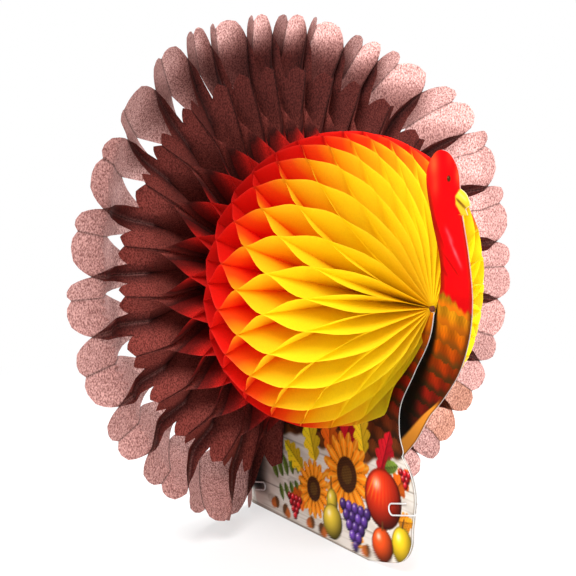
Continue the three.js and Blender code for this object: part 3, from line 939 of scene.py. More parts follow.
def ball(sheet, x, z, width, height, shade, outline=0.6):
    """A round fruit with a lit upper left, a shaded rim and a small shine."""
    u, v = (sheet.x - x) / width, (sheet.z - z) / height
    r = np.hypot(u, v)
    cover = inside((r - 1) * min(width, height))
    lit = np.clip(1.12 - 0.5 * np.hypot(u + 0.3, v - 0.35) ** 1.6, 0.35, 1.15)
    body = np.clip(np.asarray(shade) * lit[:, None], 0, 1)
    sheet.lay(cover, body)
    sheet.darken(cover * smoothstep(r, 0.86, 1.0), outline)
    sheet.lay(0.75 * bump(np.hypot(u + 0.36, v - 0.42), 0.2), rgb(255, 248, 235))


def stalk(sheet, x, z, degrees, length, width, shade):
    """A short stalk that thickens at its foot."""
    u, v = local(sheet, x, z, degrees)
    half = width * (0.75 - 0.35 * np.clip(u / length, 0, 1))
    sheet.lay(inside(np.maximum(np.abs(v + 0.02 * u * u) - half, np.maximum(-u, u - length))), shade)


def leaf_print(sheet, x, z, degrees, length, width, shade, lobes=0):
    """A leaf with a midrib and side veins, smooth or lobed."""
    u, v = local(sheet, x, z, degrees)
    t = np.clip(u / length, 0, 1)
    half = width * np.sin(np.pi * t**0.85) ** 0.8
    if lobes:
        half = half * (0.62 + 0.38 * np.abs(np.sin(np.pi * lobes * t)))
    cover = inside(np.maximum(np.abs(v) - half, np.maximum(-u, u - length)))
    tone = 0.86 + 0.22 * t + 0.12 * np.sign(v)
    sheet.lay(cover, np.clip(np.asarray(shade) * tone[:, None], 0, 1))
    veins = bump(np.mod(u - 1.1 * np.abs(v), length / 5.5) - length / 11, 0.35)
    sheet.darken(cover * np.maximum(bump(v, 0.45), 0.55 * veins), 0.62)


def sunflower(sheet, x, z, radius, shade):
    """Two rings of pointed petals round a dark seed head."""
    dx, dz = sheet.x - x, sheet.z - z
    r, angle = np.hypot(dx, dz), np.arctan2(dz, dx)
    for ring, petals, tone in ((1.0, 17, 0.86), (0.84, 15, 1.05)):
        wave = np.abs(np.cos(petals * angle / 2 + ring * 3))
        reach = radius * ring * (0.7 + 0.3 * wave**0.7)
        cover = inside(r - reach)
        glow = tone * (0.72 + 0.34 * r / radius)
        sheet.lay(cover, np.clip(np.asarray(shade) * glow[:, None], 0, 1))
        sheet.darken(cover * (1 - smoothstep(wave, 0.05, 0.35)), 0.55)
        sheet.lay(0.45 * cover * smoothstep(wave, 0.9, 1.0), rgb(255, 214, 92))
    seeds = 0.75 + 0.25 * np.sin(2.6 * dx + 1.4 * dz) * np.sin(2.6 * dz - 1.4 * dx)
    sheet.lay(inside(r - 0.42 * radius), rgb(84, 46, 22) * seeds[:, None])
    sheet.lay(inside(r - 0.22 * radius) * 0.7, rgb(128, 88, 34) * seeds[:, None])


def acorn(sheet, x, z, degrees, length):
    """A nut with a scaly cap."""
    u, v = local(sheet, x, z, degrees)
    nut = np.hypot((u - 0.25 * length) / (0.75 * length), v / (0.5 * length)) - 1
    sheet.lay(inside(nut * 0.5 * length), rgb(176, 92, 40) * (1.1 - 0.05 * np.abs(v - 0.6))[:, None])
    cap = np.maximum(np.hypot(u / (0.5 * length), v / (0.58 * length)) - 1, (u - 0.12 * length) / length)
    scales = 0.85 + 0.2 * np.sin(3.2 * u + 3.2 * v) * np.sin(3.2 * u - 3.2 * v)
    sheet.lay(inside(cap * 0.5 * length), rgb(110, 70, 38) * scales[:, None])


def berry_bunch(sheet, x, z, rows, radius, shade):
    """A hanging bunch of round berries."""
    for row in range(rows):
        for step in range(rows - row):
            offset = (step - (rows - row - 1) / 2) * 1.75 * radius
            tone = 0.82 + 0.36 * ((row * 5 + step * 3) % 4) / 3
            across, up = x + offset + 0.25 * row, z - 1.5 * radius * row
            ball(sheet, across, up, radius, radius, shade * tone, 0.45)


WOOD_WAVES = 8
PLANK_HEIGHT = 16.5
KNOTS = [(-62, 9), (-38, 25), (-76, 36), (-50, 44)]


def wood(sheet, cards):
    """Whitewashed planks with soft brown wear, thin seams and a few knots, browner towards the rear, with
    a painted shadow of the tail at the rear top.
    """
    x, z = sheet.x, sheet.z
    white, brown = screen(cards.plank), screen(cards.grain)
    chance = np.random.default_rng(5)
    grain, wear = np.zeros_like(x), np.zeros_like(x)
    for _ in range(WOOD_WAVES):
        rate, wander, slow = chance.uniform(1.2, 3.6), chance.uniform(1, 3), chance.uniform(0.03, 0.08)
        bend = wander * np.sin(slow * x + chance.uniform(0, TURN))
        grain += np.sin(rate * z + bend + chance.uniform(0, TURN)) / WOOD_WAVES
        angle = chance.uniform(-0.4, 0.4)
        wear += np.sin(0.13 * x * math.cos(angle) + 0.4 * z + chance.uniform(0, TURN)) / WOOD_WAVES
    rear = 1 - smoothstep(x, -75, 0)
    sheet.lay(np.ones_like(x), white)
    sheet.lay(smoothstep(wear, 0.0, 0.45) * (0.22 + 0.06 * rear), brown)
    sheet.lay(smoothstep(grain, 0.15, 0.5) * (0.24 + 0.08 * rear), brown)
    for knot_x, knot_z in KNOTS:
        ring = np.hypot((x - knot_x) / 3.2, (z - knot_z) / 1.4)
        sheet.lay(0.6 * bump(ring, 0.9) + 0.25 * bump(ring - 1.8, 0.4), brown * 0.75)
    seam = np.abs(np.mod(z + 0.01 * x, PLANK_HEIGHT) - 0.6)
    sheet.lay(0.55 * bump(seam, 0.45), brown * 0.6)
    # Painted shadow of the tail on the rear top of the base
    sheet.darken((1 - smoothstep(x, -82, -64)) * smoothstep(z, 7, 14), 0.1)


TWIG = rgb(96, 62, 30)
# Tone of a thin darker line along the front and bottom edges of the base
EDGE_LINE_TONE = rgb(120, 106, 94)
RUST, RUBY, GOLD, AMBER = rgb(226, 100, 24), rgb(184, 24, 36), rgb(246, 204, 36), rgb(240, 150, 30)
BACK_LEAVES = [
    (-26, 36, 150, 26, 8, GOLD),
    (-12, 44, 112, 30, 10, GOLD),
    (4, 52, 92, 30, 10, RUST),
    (18, 58, 66, 30, 9, RUBY),
    (40, 60, 104, 28, 9, GOLD),
    (56, 52, 70, 28, 9, RUBY),
    (68, 44, 44, 24, 8, RUST),
    (-20, 20, 196, 24, 8, RUST),
    (36, 18, 250, 18, 7, AMBER),
    (74, 30, 10, 15, 6, AMBER),
]


def harvest(sheet, cards):
    """Sunflowers, apples, pears, berries, acorns and leaves gathered on the front of the base."""
    apple, pear, petal = screen(cards.apple), screen(cards.pear), screen(cards.petal)
    berry, sprig = screen(cards.berry), screen(cards.sprig)
    for step in range(5):
        leaf_print(sheet, -56 + 6 * step, 24 + 2 * step, 128 - 6 * step, 14, 2.8, sprig)
        leaf_print(sheet, -54 + 6 * step, 21 + 2 * step, -64 + 4 * step, 11, 2.4, sprig * 0.9)
    for place in BACK_LEAVES:
        leaf_print(sheet, *place, lobes=4)
    sunflower(sheet, 22, 44, 25, petal)
    sunflower(sheet, -14, 27, 18, petal)
    stalk(sheet, 61, 55, 76, 10, 1.5, TWIG)
    ball(sheet, 59, 39, 18, 17, apple)
    for step in range(-4, 5):
        top, foot = (59 + 2.2 * step, 52 - 0.5 * abs(step)), (59 + 4.0 * step, 33 + abs(step))
        stroke = streak(sheet, top, foot, 0.6)
        sheet.lay((0.34 - 0.03 * step) * stroke, lerp(GOLD, RUBY, 0.5 + 0.12 * step))
    leaf_print(sheet, 61, 57, 16, 13, 3.8, sprig)
    stalk(sheet, 6, 31, 105, 8, 1.2, TWIG)
    ball(sheet, 6.5, 24, 5.8, 8, pear)
    ball(sheet, 7, 12.5, 10.5, 10.5, pear)
    berry_bunch(sheet, 31, 26, 5, 3.6, berry)
    ball(sheet, 78, 17, 10, 11, GOLD)
    stalk(sheet, 78, 27, 80, 6, 1.2, TWIG)
    ball(sheet, 59, 12.5, 10.5, 10, apple * np.array([1.05, 1.6, 1.2]))
    stalk(sheet, 59, 21, 98, 5, 1.2, TWIG)
    berry_bunch(sheet, -36, 16, 4, 2.4, rgb(200, 28, 40))
    berry_bunch(sheet, 80, 58, 3, 2.2, rgb(200, 28, 40))
    for x, z, degrees in ((-58, 8, 200), (-47, 6, 330), (-16, 6, 200), (44, 5, 190), (-5, 5, 330)):
        acorn(sheet, x, z, degrees, 6.5)


# Breast feathers: height, tint there, and tint of the dark band
FEATHERS = [
    (60, rgb(124, 66, 28), rgb(58, 32, 16)),
    (84, rgb(120, 48, 20), rgb(46, 24, 12)),
    (96, rgb(128, 26, 14), rgb(44, 24, 10)),
    (106, rgb(160, 28, 14), rgb(48, 28, 10)),
    (116, rgb(176, 46, 8), rgb(66, 38, 12)),
    (127, rgb(200, 72, 8), rgb(94, 54, 14)),
    (138, rgb(238, 112, 8), rgb(134, 68, 12)),
    (150, rgb(255, 166, 20), rgb(214, 112, 14)),
    (162, rgb(255, 172, 24), rgb(220, 118, 14)),
]
FEATHER_HEIGHTS, FEATHER_TINTS, FEATHER_BANDS = zip(*FEATHERS)
FEATHER_ROW = 9.6
FEATHER_WIDTH = 14.0


def by_height(z, tints):
    """A tint for each height, between the ones that are given."""
    tints = np.array(tints)
    return np.stack([np.interp(z, FEATHER_HEIGHTS, tints[:, c]) for c in range(3)], axis=1)


def feathers(sheet, near_edge, far_edge):
    """Wavy rows of breast feathers, bright at the top, dark lower down, with a painted shadow beside the
    near card's edge.
    """
    x, z = sheet.x, sheet.z
    slope = z + 0.2 * (x - 110) + 0.6 * np.sin(TURN * x / 7.3 + 0.09 * z)
    row = np.floor(slope / FEATHER_ROW)
    place = x / FEATHER_WIDTH + 0.5 * np.mod(row, 2)
    middle = 0.5 + 0.5 * np.cos(TURN * place)
    down = 1 - (slope / FEATHER_ROW - row) + 0.14 * (0.5 - middle)
    band = smoothstep(down, 0.42, 0.9)
    streaks = 0.95 + 0.07 * np.sin(2.6 * x + 1.2 * np.sin(0.7 * z)) * np.sin(0.9 * z)
    light = by_height(z, FEATHER_TINTS) * (0.64 + 0.24 * middle)[:, None] * streaks[:, None]
    shade = light + (by_height(z, FEATHER_BANDS) - light) * band[:, None]
    top_of_base = lerp(55, 66, smoothstep(x, 42, 70)) + 1.6 * np.sin(0.16 * x) + 0.8 * np.sin(0.41 * x)
    sheet.lay(smoothstep(z, top_of_base - 1.5, top_of_base + 1.5), np.clip(shade, 0, 1))
    rim = (1 - smoothstep(far_edge - x, 0.6, 4.5)) * smoothstep(z, 70, 76)
    sheet.lay(0.65 * rim, rgb(62, 28, 10))
    # Painted shadow of the near card on the far card, widest low down and darkest beside the near card's
    # front edge
    past_near = x - near_edge
    wide_shade = lerp(19.0, 3.0, smoothstep(z, 92, 152))
    shaded = (past_near > -1.5) * (1 - smoothstep(past_near, 0.3 * wide_shade, wide_shade))
    sheet.darken(shaded * smoothstep(z, 66, 74), 0.04)


def ochre_edge(sheet, far_edge):
    """Ochre strip along the front of the far card's lower breast."""
    inset = far_edge - sheet.x
    wide = lerp(15.0, 3.0, smoothstep(sheet.z, 70, 106))
    strip = (1 - smoothstep(inset, 0.7 * wide, wide)) * (1 - smoothstep(sheet.z, 98, 106))
    tone = 0.8 + 0.25 * smoothstep(sheet.z, 70, 98)
    sheet.lay(strip * smoothstep(sheet.z, 66, 70), np.clip(rgb(208, 132, 42) * tone[:, None], 0, 1))
    sheet.lay(0.6 * (1 - smoothstep(inset, 0.3, 1.6)) * smoothstep(sheet.z, 66, 70), rgb(92, 46, 14))


def streak(sheet, start, end, width):
    """Cover of a soft stroke between two places."""
    (x0, z0), (x1, z1) = start, end
    length = math.hypot(x1 - x0, z1 - z0)
    u, v = local(sheet, x0, z0, math.degrees(math.atan2(z1 - z0, x1 - x0)))
    begins = smoothstep(u, -0.15 * length, 0.3 * length)
    fades = smoothstep(-u, -1.15 * length, -0.7 * length)
    return bump(v, width) * begins * fades


def outline_distance(sheet, corners):
    """Distance to a many-cornered outline, below 0 inside it."""
    nearest = np.full(len(sheet.x), np.inf)
    within = np.zeros(len(sheet.x), bool)
    for (x0, z0), (x1, z1) in zip(corners, corners[1:] + corners[:1]):
        dx, dz = x1 - x0, z1 - z0
        t = np.clip(((sheet.x - x0) * dx + (sheet.z - z0) * dz) / (dx * dx + dz * dz), 0, 1)
        nearest = np.minimum(nearest, np.hypot(sheet.x - x0 - t * dx, sheet.z - z0 - t * dz))
        crosses = (z0 > sheet.z) != (z1 > sheet.z)
        with np.errstate(divide="ignore", invalid="ignore"):
            within ^= crosses & (sheet.x < x0 + dx * (sheet.z - z0) / dz)
    return np.where(within, -nearest, nearest)


EYE = (114.6, 218.6)
COLLAR = [(100, 162), (108.6, 160.7), (115.6, 159), (122.4, 155.9), (127.5, 152.5), (138, 153.6)]
NECK_SHEENS = [
    ((112, 194), (119, 186), 1.3),
    ((115, 189), (123, 179), 1.1),
    ((119, 184), (127, 174), 1.2),
]
NECK_FOLDS = [
    ((102, 198), (112, 182), 1.4),
    ((110, 181), (126, 169), 0.9),
    ((107, 176), (116, 168), 1.2),
]
BEAK_PRINT = [(124.6, 214.5), (120.2, 210.2), (120.8, 206.0), (125.8, 200.8), (136, 199), (136, 214)]
MOUTH = ((120.4, 209.4), (129.8, 204.4))
GLOWS = [(101.6, 225.5, 4.2, 0.85), (103.0, 214, 3.6, 0.45), (122.4, 221, 2.8, 0.7), (115, 230, 3.0, 0.3)]


def head(sheet, cards, left_edge, right_edge):
    """Red neck and head with shaded edges, skin folds, eye and beak."""
    x, z = sheet.x, sheet.z
    red = screen(cards.neck)
    collar = np.interp(x, *zip(*COLLAR)) + 0.7 * np.sin(1.2 * x)
    skin = smoothstep(z, collar - 1.6, collar + 1.6)
    sheet.darken(0.5 * bump(z - collar + 1.5, 3.0) * (1 - smoothstep(x, 108, 122)), 0.35)
    tone = 1 - 0.16 * (1 - smoothstep(z, 156, 170))
    sheet.lay(skin, np.clip(red * tone[:, None], 0, 1))
    from_left, from_right = x - left_edge, right_edge - x
    neck = skin * (1 - smoothstep(z, 206, 222))
    sheet.lay(neck * (1 - smoothstep(from_left, 0.8, 5.5)) * 0.9, screen(cards.neck_edge))
    sheet.lay(neck * (1 - smoothstep(from_right, 0.4, 3.6)) * 0.7, rgb(150, 34, 12))
    crown = skin * smoothstep(z, 204, 216)
    from_edge = np.minimum(from_left, from_right)
    sheet.lay(crown * (1 - smoothstep(from_edge, 0.4, 2.6)) * 0.55, rgb(176, 40, 16))
    for x0, z0, wide, part in GLOWS:
        sheet.lay(skin * part * bump(np.hypot(x - x0, 0.6 * (z - z0)), wide), rgb(255, 96, 48))
    for start, end, width in NECK_FOLDS:
        sheet.lay(0.6 * streak(sheet, start, end, width), rgb(138, 8, 8))
    for start, end, width in NECK_SHEENS:
        sheet.lay(0.5 * streak(sheet, start, end, width), rgb(255, 112, 122))
    beak = inside(outline_distance(sheet, BEAK_PRINT)) * smoothstep(z, 196, 198)
    glow = 0.88 + 0.16 * smoothstep(z, 203, 213)
    sheet.lay(beak, np.clip(screen(cards.beak) * glow[:, None], 0, 1))
    sheet.lay(0.9 * beak * streak(sheet, *MOUTH, 0.75), rgb(92, 50, 12))
    sheet.lay(0.6 * beak * streak(sheet, (122, 212.6), (130, 208.6), 0.8), rgb(255, 240, 150))
    from_eye = np.hypot(x - EYE[0], z - EYE[1])
    sheet.lay(0.4 * bump(from_eye, 3.2), rgb(170, 6, 10))
    sheet.lay(inside(from_eye - 1.5), screen(cards.eye))
    sheet.lay(0.6 * bump(np.hypot(x - EYE[0] + 0.5, z - EYE[1] - 0.6), 0.4), rgb(190, 170, 130))


NO_EDGE = 1e4
BEYOND_EDGE = 9


def print_card(points, cards, is_far):
    """Ink for every point of a card, as linear colour."""
    sheet = Print(points)
    heights = points[:, 1]
    edge = near_edge = across_at(near_front(), heights) / MM
    wood(sheet, cards)
    if is_far:
        front, nape = far_front()
        edge = across_at(front, heights) / MM
        feathers(sheet, near_edge, edge)
        ochre_edge(sheet, edge)
        head(sheet, cards, across_at(nape, heights) / MM, edge)
    else:
        # Nothing stands in front of the near card, so it gets no painted shadow
        feathers(sheet, NO_EDGE, edge + BEYOND_EDGE)
    harvest(sheet, cards)
    # A thin darker line along the front and bottom edges of the base
    from_edge = np.minimum(edge - sheet.x, sheet.z)
    edge_line = 0.6 * (1 - smoothstep(from_edge, 0.2, 1.5))
    sheet.lay(edge_line * (1 - smoothstep(sheet.z, 60, 66)), EDGE_LINE_TONE)
    ink = np.clip(sheet.ink, 0, 1)
    return np.where(ink <= 0.04045, ink / 12.92, ((ink + 0.055) / 1.055) ** 2.4)


def printed_material():
    """Printed board: ink from the card's points, with a satin varnish over fine paper grain."""
    material, tree, shader = new_material("printed_board")
    tree.links.new(attribute(tree, "ink", "Color"), shader.inputs["Base Color"])
    shader.inputs["Specular IOR Level"].default_value = 0.04
    grain = object_noise(tree, 900, 2)
    varied_gloss(tree, grain, 0.48, 0.64, shader)
    add_bump(tree, grain, 0.08, 0.05 * MM, shader)
    return material


def bare_board_material(name, cards, stain):
    """Bare pressed board along the cut edges, stained by the ink of the faces."""
    material, tree, shader = new_material(name)
    layers = object_noise(tree, 500, 3, (1, 6, 1))
    fibre = ramp(tree, layers, [(0.3, dimmed(cards.cut_edge, 0.82)), (0.65, tuple(cards.cut_edge))])
    stained = mixed_colour(tree, "MIX", stain, fibre, attribute(tree, "ink", "Color"))
    tree.links.new(stained, shader.inputs["Base Color"])
    shader.inputs["Roughness"].default_value = 0.8
    add_bump(tree, layers, 0.2, 0.05 * MM, shader)
    return material


NEAR_EDGE_STAIN = 0.1
FAR_EDGE_STAIN = 0.6


class TURKEY_OT_cards(bpy.types.Operator):
    """Cut and print the near card and the far card"""

    bl_idname = "turkey.cards"
    bl_label = "Printed cards"

    def execute(self, context):
        cards = context.scene.turkey_cards
        printed = printed_material()
        outer = cards.gap / 2 + cards.thickness
        for node, grid, nearest, stain in (
            ("near_card", near_card_grid(cards), -outer, NEAR_EDGE_STAIN),
            ("far_card", far_card_grid(cards), cards.gap / 2, FAR_EDGE_STAIN),
        ):
            points, faces = grid
            places, every, walls = board(points, faces, nearest, cards.thickness)
            bare = bare_board_material("bare_board_of_" + node, cards, stain)
            card = new_piece("printed_" + node, places, every, [printed, bare])
            ink = print_card(points, cards, node == "far_card")
            rgba = np.concatenate([ink, np.ones((len(ink), 1))], axis=1)
            layer = card.data.color_attributes.new("ink", "FLOAT_COLOR", "POINT")
            layer.data.foreach_set("color", np.concatenate([rgba, rgba]).astype(np.float32).ravel())
            slots = np.zeros(len(every), np.int32)
            slots[-walls:] = 1
            card.data.polygons.foreach_set("material_index", slots)
            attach(card, node)
            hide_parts(node)
        return {"FINISHED"}


# Clips and cord


def swept_tube(path, radii, sides):
    """Points and faces of a round tube along a path that starts square to Z, closed at both ends."""
    path = np.asarray(path, float)
    ahead = np.gradient(path, axis=0)
    ahead /= np.linalg.norm(ahead, axis=1)[:, None]
    across = np.cross(ahead[0], (0.0, 0.0, 1.0))
    angles = np.linspace(0, TURN, sides, endpoint=False)
    points = []
    for place, direction, reach in zip(path, ahead, radii):
        across = across - direction * across.dot(direction)
        across /= np.linalg.norm(across)
        up = np.cross(direction, across)
        ring = np.outer(np.cos(angles), across) + np.outer(np.sin(angles), up)
        points.append(place + ring * np.reshape(reach, (-1, 1)))
    count = len(path)
    index = np.arange(count * sides).reshape(count, sides)
    turned = np.roll(index, -1, axis=1)
    faces = np.stack([index[:-1], turned[:-1], turned[1:], index[1:]], axis=2).reshape(-1, 4).tolist()
    faces.append(index[0][::-1].tolist())
    faces.append(index[-1].tolist())
    return np.concatenate(points), faces


BEND_STEPS = 14
WIRE_SIDES = 14
SHARP_WIRE = math.radians(50)

# Clips: node, place of the card's edge along X, height, way in and tilt
CLIP_PLACES = [
    ("front_clip", BASE_END - 0.5 * MM, 0.27 * AXIS_HEIGHT, -1, math.radians(14)),
    ("rear_clip", -BASE_END, 0.073 * AXIS_HEIGHT, 1, math.radians(12)),
]


def half_turn(path, start, end, outward):
    """Adds a half turn of wire between two legs, as depth, height and side."""
    depth, height, side = start
    end_height, end_side = end
    radius = abs(height - end_height) / 2
    for part in np.linspace(0, 1, BEND_STEPS):
        swing = (1 - math.cos(math.pi * part)) / 2
        out = depth + outward * radius * math.sin(math.pi * part)
        path.append((out, lerp(height, end_height, swing), lerp(side, end_side, part)))


def clip_path(clips, cards):
    """Middle of a clip's wire: outer loop on the near face, round the edge, tongue on the far face."""
    plane = cards.gap / 2 + cards.thickness + FIT_CLEARANCE + clips.wire_radius
    half, tongue = clips.width / 2, clips.tongue_width / 2
    path = [(clips.wire_end, half, -plane)]
    half_turn(path, (clips.depth - half, half, -plane), (-half, -plane), 1)
    half_turn(path, (-clips.wire_radius, -half, -plane), (tongue, plane), -1)
    half_turn(path, (clips.tongue_depth - tongue, tongue, plane), (-tongue, plane), 1)
    path.append((clips.wire_end, -tongue, plane))
    return path


def coated_wire_material(clips):
    """White plastic coat on wire, with a soft gloss that varies a little."""
    material, tree, coat = new_material("coated_wire")
    cloud = object_noise(tree, 260, 2)
    shades = [(0.3, dimmed(clips.coat, 0.93)), (0.7, tuple(clips.coat))]
    tree.links.new(ramp(tree, cloud, shades), coat.inputs["Base Color"])
    varied_gloss(tree, cloud, 0.22, 0.36, coat)
    return material


class TURKEY_OT_clips(bpy.types.Operator):
    """Bend the two paper clips that hold the cards together"""

    bl_idname = "turkey.clips"
    bl_label = "Paper clips"

    def execute(self, context):
        clips, cards = context.scene.turkey_clips, context.scene.turkey_cards
        material = coated_wire_material(clips)
        path = clip_path(clips, cards)
        points, faces = swept_tube(path, np.full(len(path), clips.wire_radius), WIRE_SIDES)
        for node, edge, height, inward, tilt in CLIP_PLACES:
            depth = np.array([inward * math.cos(tilt), 0, inward * math.sin(tilt)])
            up = np.array([-inward * depth[2], 0, inward * depth[0]])
            side = np.cross(depth, up)
            placed = points @ np.stack([depth, up, side]) + (BASE_MIDDLE + edge, 0, height)
            wire = new_piece("wire_" + node, placed, faces, [material])
            wire.data.shade_smooth()
            wire.data.set_sharp_from_angle(angle=SHARP_WIRE)
            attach(wire, node)
            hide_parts(node)
        return {"FINISHED"}


def cotton_material(cord):
    """Dark cotton yarn with loose fibres."""
    material, tree, cotton = new_material("cotton_cord")
    fibres = object_noise(tree, 1500, 3, (3, 1, 1))
    shades = [(0.3, dimmed(cord.cotton, 0.55)), (0.7, dimmed(cord.cotton, 1.4))]
    tree.links.new(ramp(tree, fibres, shades), cotton.inputs["Base Color"])
    cotton.inputs["Roughness"].default_value = 0.95
    add_bump(tree, fibres, 0.5, 0.2 * MM, cotton)
    return material


CORD_STEPS = 520
CORD_SIDES = 18
STRANDS = 3
STRAND_DEPTH = 0.09


class TURKEY_OT_cord(bpy.types.Operator):
    """Twist the cord through the middle of the fan and knot its ends"""

    bl_idname = "turkey.cord"
    bl_label = "Spine cord"

    def execute(self, context):
        cord = context.scene.turkey_cord
        low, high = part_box("spine_cord")
        along = np.linspace(high.x, low.x, CORD_STEPS)
        from_end = np.minimum(high.x - along, along - low.x)
        knot = smoothstep(-from_end, -1.25 * cord.knot_length, -0.75 * cord.knot_length)
        rounded = np.sqrt(np.clip(from_end / (0.45 * cord.knot_length), 0.04, 1))
        mean = lerp(cord.radius, cord.knot_radius, knot) * rounded
        angles = np.linspace(0, TURN, CORD_SIDES, endpoint=False)
        twist = angles[None, :] + TURN * along[:, None] / cord.lay
        strands = 1 - STRAND_DEPTH * (1 - np.cos(STRANDS * twist))
        path = np.stack([along, np.zeros_like(along), np.full_like(along, AXIS_HEIGHT)], axis=1)
        points, faces = swept_tube(path, list(mean[:, None] * strands), CORD_SIDES)
        piece = new_piece("twisted_spine_cord", points, faces, [cotton_material(cord)])
        piece.data.shade_smooth()
        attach(piece, "near_card")
        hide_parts("spine_cord")
        return {"FINISHED"}


# Stage


FLOOR_REACH = 8.0
FLOOR_DROP = 0.3 * MM
FLOOR_FADE = (0.12, 0.6)
FLOOR_GLOW = 0.62
TAIL_X = BASE_MIDDLE - 35.5 * MM
TAIL_MIDDLE = (TAIL_X, 0, AXIS_HEIGHT)
FAR_PETALS = (TAIL_X, 120 * MM, AXIS_HEIGHT)
KEY_SIZE = 0.8
KEY_PLACE = (0.8, -0.85, 1.35)
RIM_SIZE = 0.5
RIM_PLACE = (-0.52, 0.76, 0.36)
SENSOR_WIDTH = 36
VIEW_REACH = (0.01, 50)
IMAGE_SIZE = 576
SHIFT = (-8.3 / IMAGE_SIZE, -10.7 / IMAGE_SIZE)


def seen(tree, *ways):
    """1 for rays by which the camera sees a surface in one of these ways, 0 for light."""
    rays = tree.nodes.new("ShaderNodeLightPath")
    total = rays.outputs[ways[0]]
    for way in ways[1:]:
        total = combined(tree, "MAXIMUM", total, rays.outputs[way])
    return total


def floor_material(stage):
    """Pale floor that keeps the shadow near the figure and fades to the backdrop's white further out."""
    material, tree, floor = new_material("pale_floor")
    cloud = object_noise(tree, 3, 2)
    shades = [(0.3, dimmed(stage.floor, 0.985)), (0.7, tuple(stage.floor))]
    tree.links.new(ramp(tree, cloud, shades), floor.inputs["Base Color"])
    floor.inputs["Roughness"].default_value = 0.9
    floor.inputs["Specular IOR Level"].default_value = 0.1
    coordinates = tree.nodes.new("ShaderNodeTexCoord")
    distance = tree.nodes.new("ShaderNodeVectorMath")
    distance.operation = "LENGTH"
    tree.links.new(coordinates.outputs["Object"], distance.inputs[0])
    fade = tree.nodes.new("ShaderNodeMapRange")
    fade.interpolation_type = "SMOOTHSTEP"
    fade.inputs["From Min"].default_value, fade.inputs["From Max"].default_value = FLOOR_FADE
    fade.inputs["To Min"].default_value = FLOOR_GLOW
    tree.links.new(distance.outputs["Value"], fade.inputs["Value"])
    looked_at = seen(tree, "Is Camera Ray", "Is Glossy Ray")
    amount = combined(tree, "MULTIPLY", looked_at, fade.outputs["Result"])
    white = tree.nodes.new("ShaderNodeEmission")
    shader_to_surface(tree, "Material Output", amount, floor, white)
    return material


def white_world(strength):
    """Even light all round, and plain white where the camera, gloss or see-through surfaces look past."""
    world = bpy.data.worlds.new("studio")
    bpy.context.scene.world = world
    world.use_nodes = True
    tree = world.node_tree
    light = tree.nodes["Background"]
    light.inputs["Strength"].default_value = strength
    white = tree.nodes.new("ShaderNodeBackground")
    for background in (light, white):
        background.inputs["Color"].default_value = (1, 1, 1, 1)
    looked_at = seen(tree, "Is Camera Ray", "Is Glossy Ray", "Is Transmission Ray")
    shader_to_surface(tree, "World Output", looked_at, light, white)


def soft_lamp(name, power, size_m, place, target):
    """A square lamp that looks at a target."""
    lamp = bpy.data.lights.new(name, "AREA")
    lamp.energy = power
    lamp.size = size_m
    lamp_object = bpy.data.objects.new(name, lamp)
    lamp_object.location = place
    lamp_object.rotation_euler = (Vector(target) - Vector(place)).to_track_quat("-Z", "Y").to_euler()
    bpy.context.scene.collection.objects.link(lamp_object)


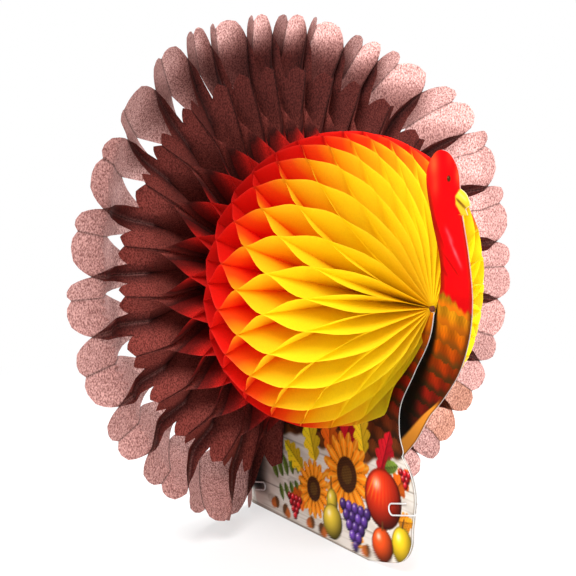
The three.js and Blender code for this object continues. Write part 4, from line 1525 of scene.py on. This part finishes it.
class TURKEY_OT_stage(bpy.types.Operator):
    """Set the pale floor, the soft light and the camera"""

    bl_idname = "turkey.stage"
    bl_label = "Stage"

    def execute(self, context):
        stage = context.scene.turkey_stage
        sides = ((-1, -1), (1, -1), (1, 1), (-1, 1))
        corners = [(x * FLOOR_REACH, y * FLOOR_REACH, -FLOOR_DROP) for x, y in sides]
        floor = new_piece("floor", corners, [(0, 1, 2, 3)], [floor_material(stage)])
        white_world(stage.sky)
        soft_lamp("key_lamp", stage.key, KEY_SIZE, KEY_PLACE, TAIL_MIDDLE)
        soft_lamp("rim_lamp", stage.rim, RIM_SIZE, RIM_PLACE, FAR_PETALS)
        turned, level = stage.azimuth, math.cos(stage.elevation)
        back = Vector((math.sin(turned) * level, -math.cos(turned) * level, math.sin(stage.elevation)))
        camera = bpy.data.cameras.new("camera")
        camera.lens = stage.lens
        camera.sensor_width = SENSOR_WIDTH
        camera.shift_x, camera.shift_y = SHIFT
        camera.clip_start, camera.clip_end = VIEW_REACH
        holder = bpy.data.objects.new("camera", camera)
        holder.location = Vector(TAIL_MIDDLE) + back * stage.distance
        holder.rotation_euler = (-back).to_track_quat("-Z", "Y").to_euler()
        context.scene.collection.objects.link(holder)
        context.scene.camera = holder
        context.scene.view_settings.view_transform = "Standard"
        return {"FINISHED"}


class TURKEY_PT_panel(bpy.types.Panel):
    """Sizes, colours and steps of the tissue turkey"""

    bl_idname = "TURKEY_PT_panel"
    bl_label = "Tissue turkey"
    bl_space_type = "VIEW_3D"
    bl_region_type = "UI"
    bl_category = "Turkey"

    def draw(self, context):
        layout = self.layout
        for operator, group in STEPS:
            box = layout.box()
            box.operator(operator)
            settings = getattr(context.scene, group)
            for name in settings.__annotations__:
                box.prop(settings, name)


STEPS = [
    ("turkey.leaves", "turkey_tissue"),
    ("turkey.cards", "turkey_cards"),
    ("turkey.clips", "turkey_clips"),
    ("turkey.cord", "turkey_cord"),
    ("turkey.stage", "turkey_stage"),
]
GROUPS = {
    "turkey_tissue": TurkeyTissue,
    "turkey_cards": TurkeyCards,
    "turkey_clips": TurkeyClips,
    "turkey_cord": TurkeyCord,
    "turkey_stage": TurkeyStage,
}
CLASSES = (
    *GROUPS.values(),
    TURKEY_OT_leaves,
    TURKEY_OT_cards,
    TURKEY_OT_clips,
    TURKEY_OT_cord,
    TURKEY_OT_stage,
    TURKEY_PT_panel,
)


def register():
    """Adds the classes, and the settings to the scene."""
    for cls in CLASSES:
        bpy.utils.register_class(cls)
    for name, group in GROUPS.items():
        setattr(bpy.types.Scene, name, bpy.props.PointerProperty(type=group))


def unregister():
    """Takes the settings and the classes away again."""
    for name in GROUPS:
        delattr(bpy.types.Scene, name)
    for cls in reversed(CLASSES):
        bpy.utils.unregister_class(cls)


def main():
    register()
    bpy.ops.turkey.leaves()
    bpy.ops.turkey.cards()
    bpy.ops.turkey.clips()
    bpy.ops.turkey.cord()
    bpy.ops.turkey.stage()


if __name__ == "__main__":
    main()
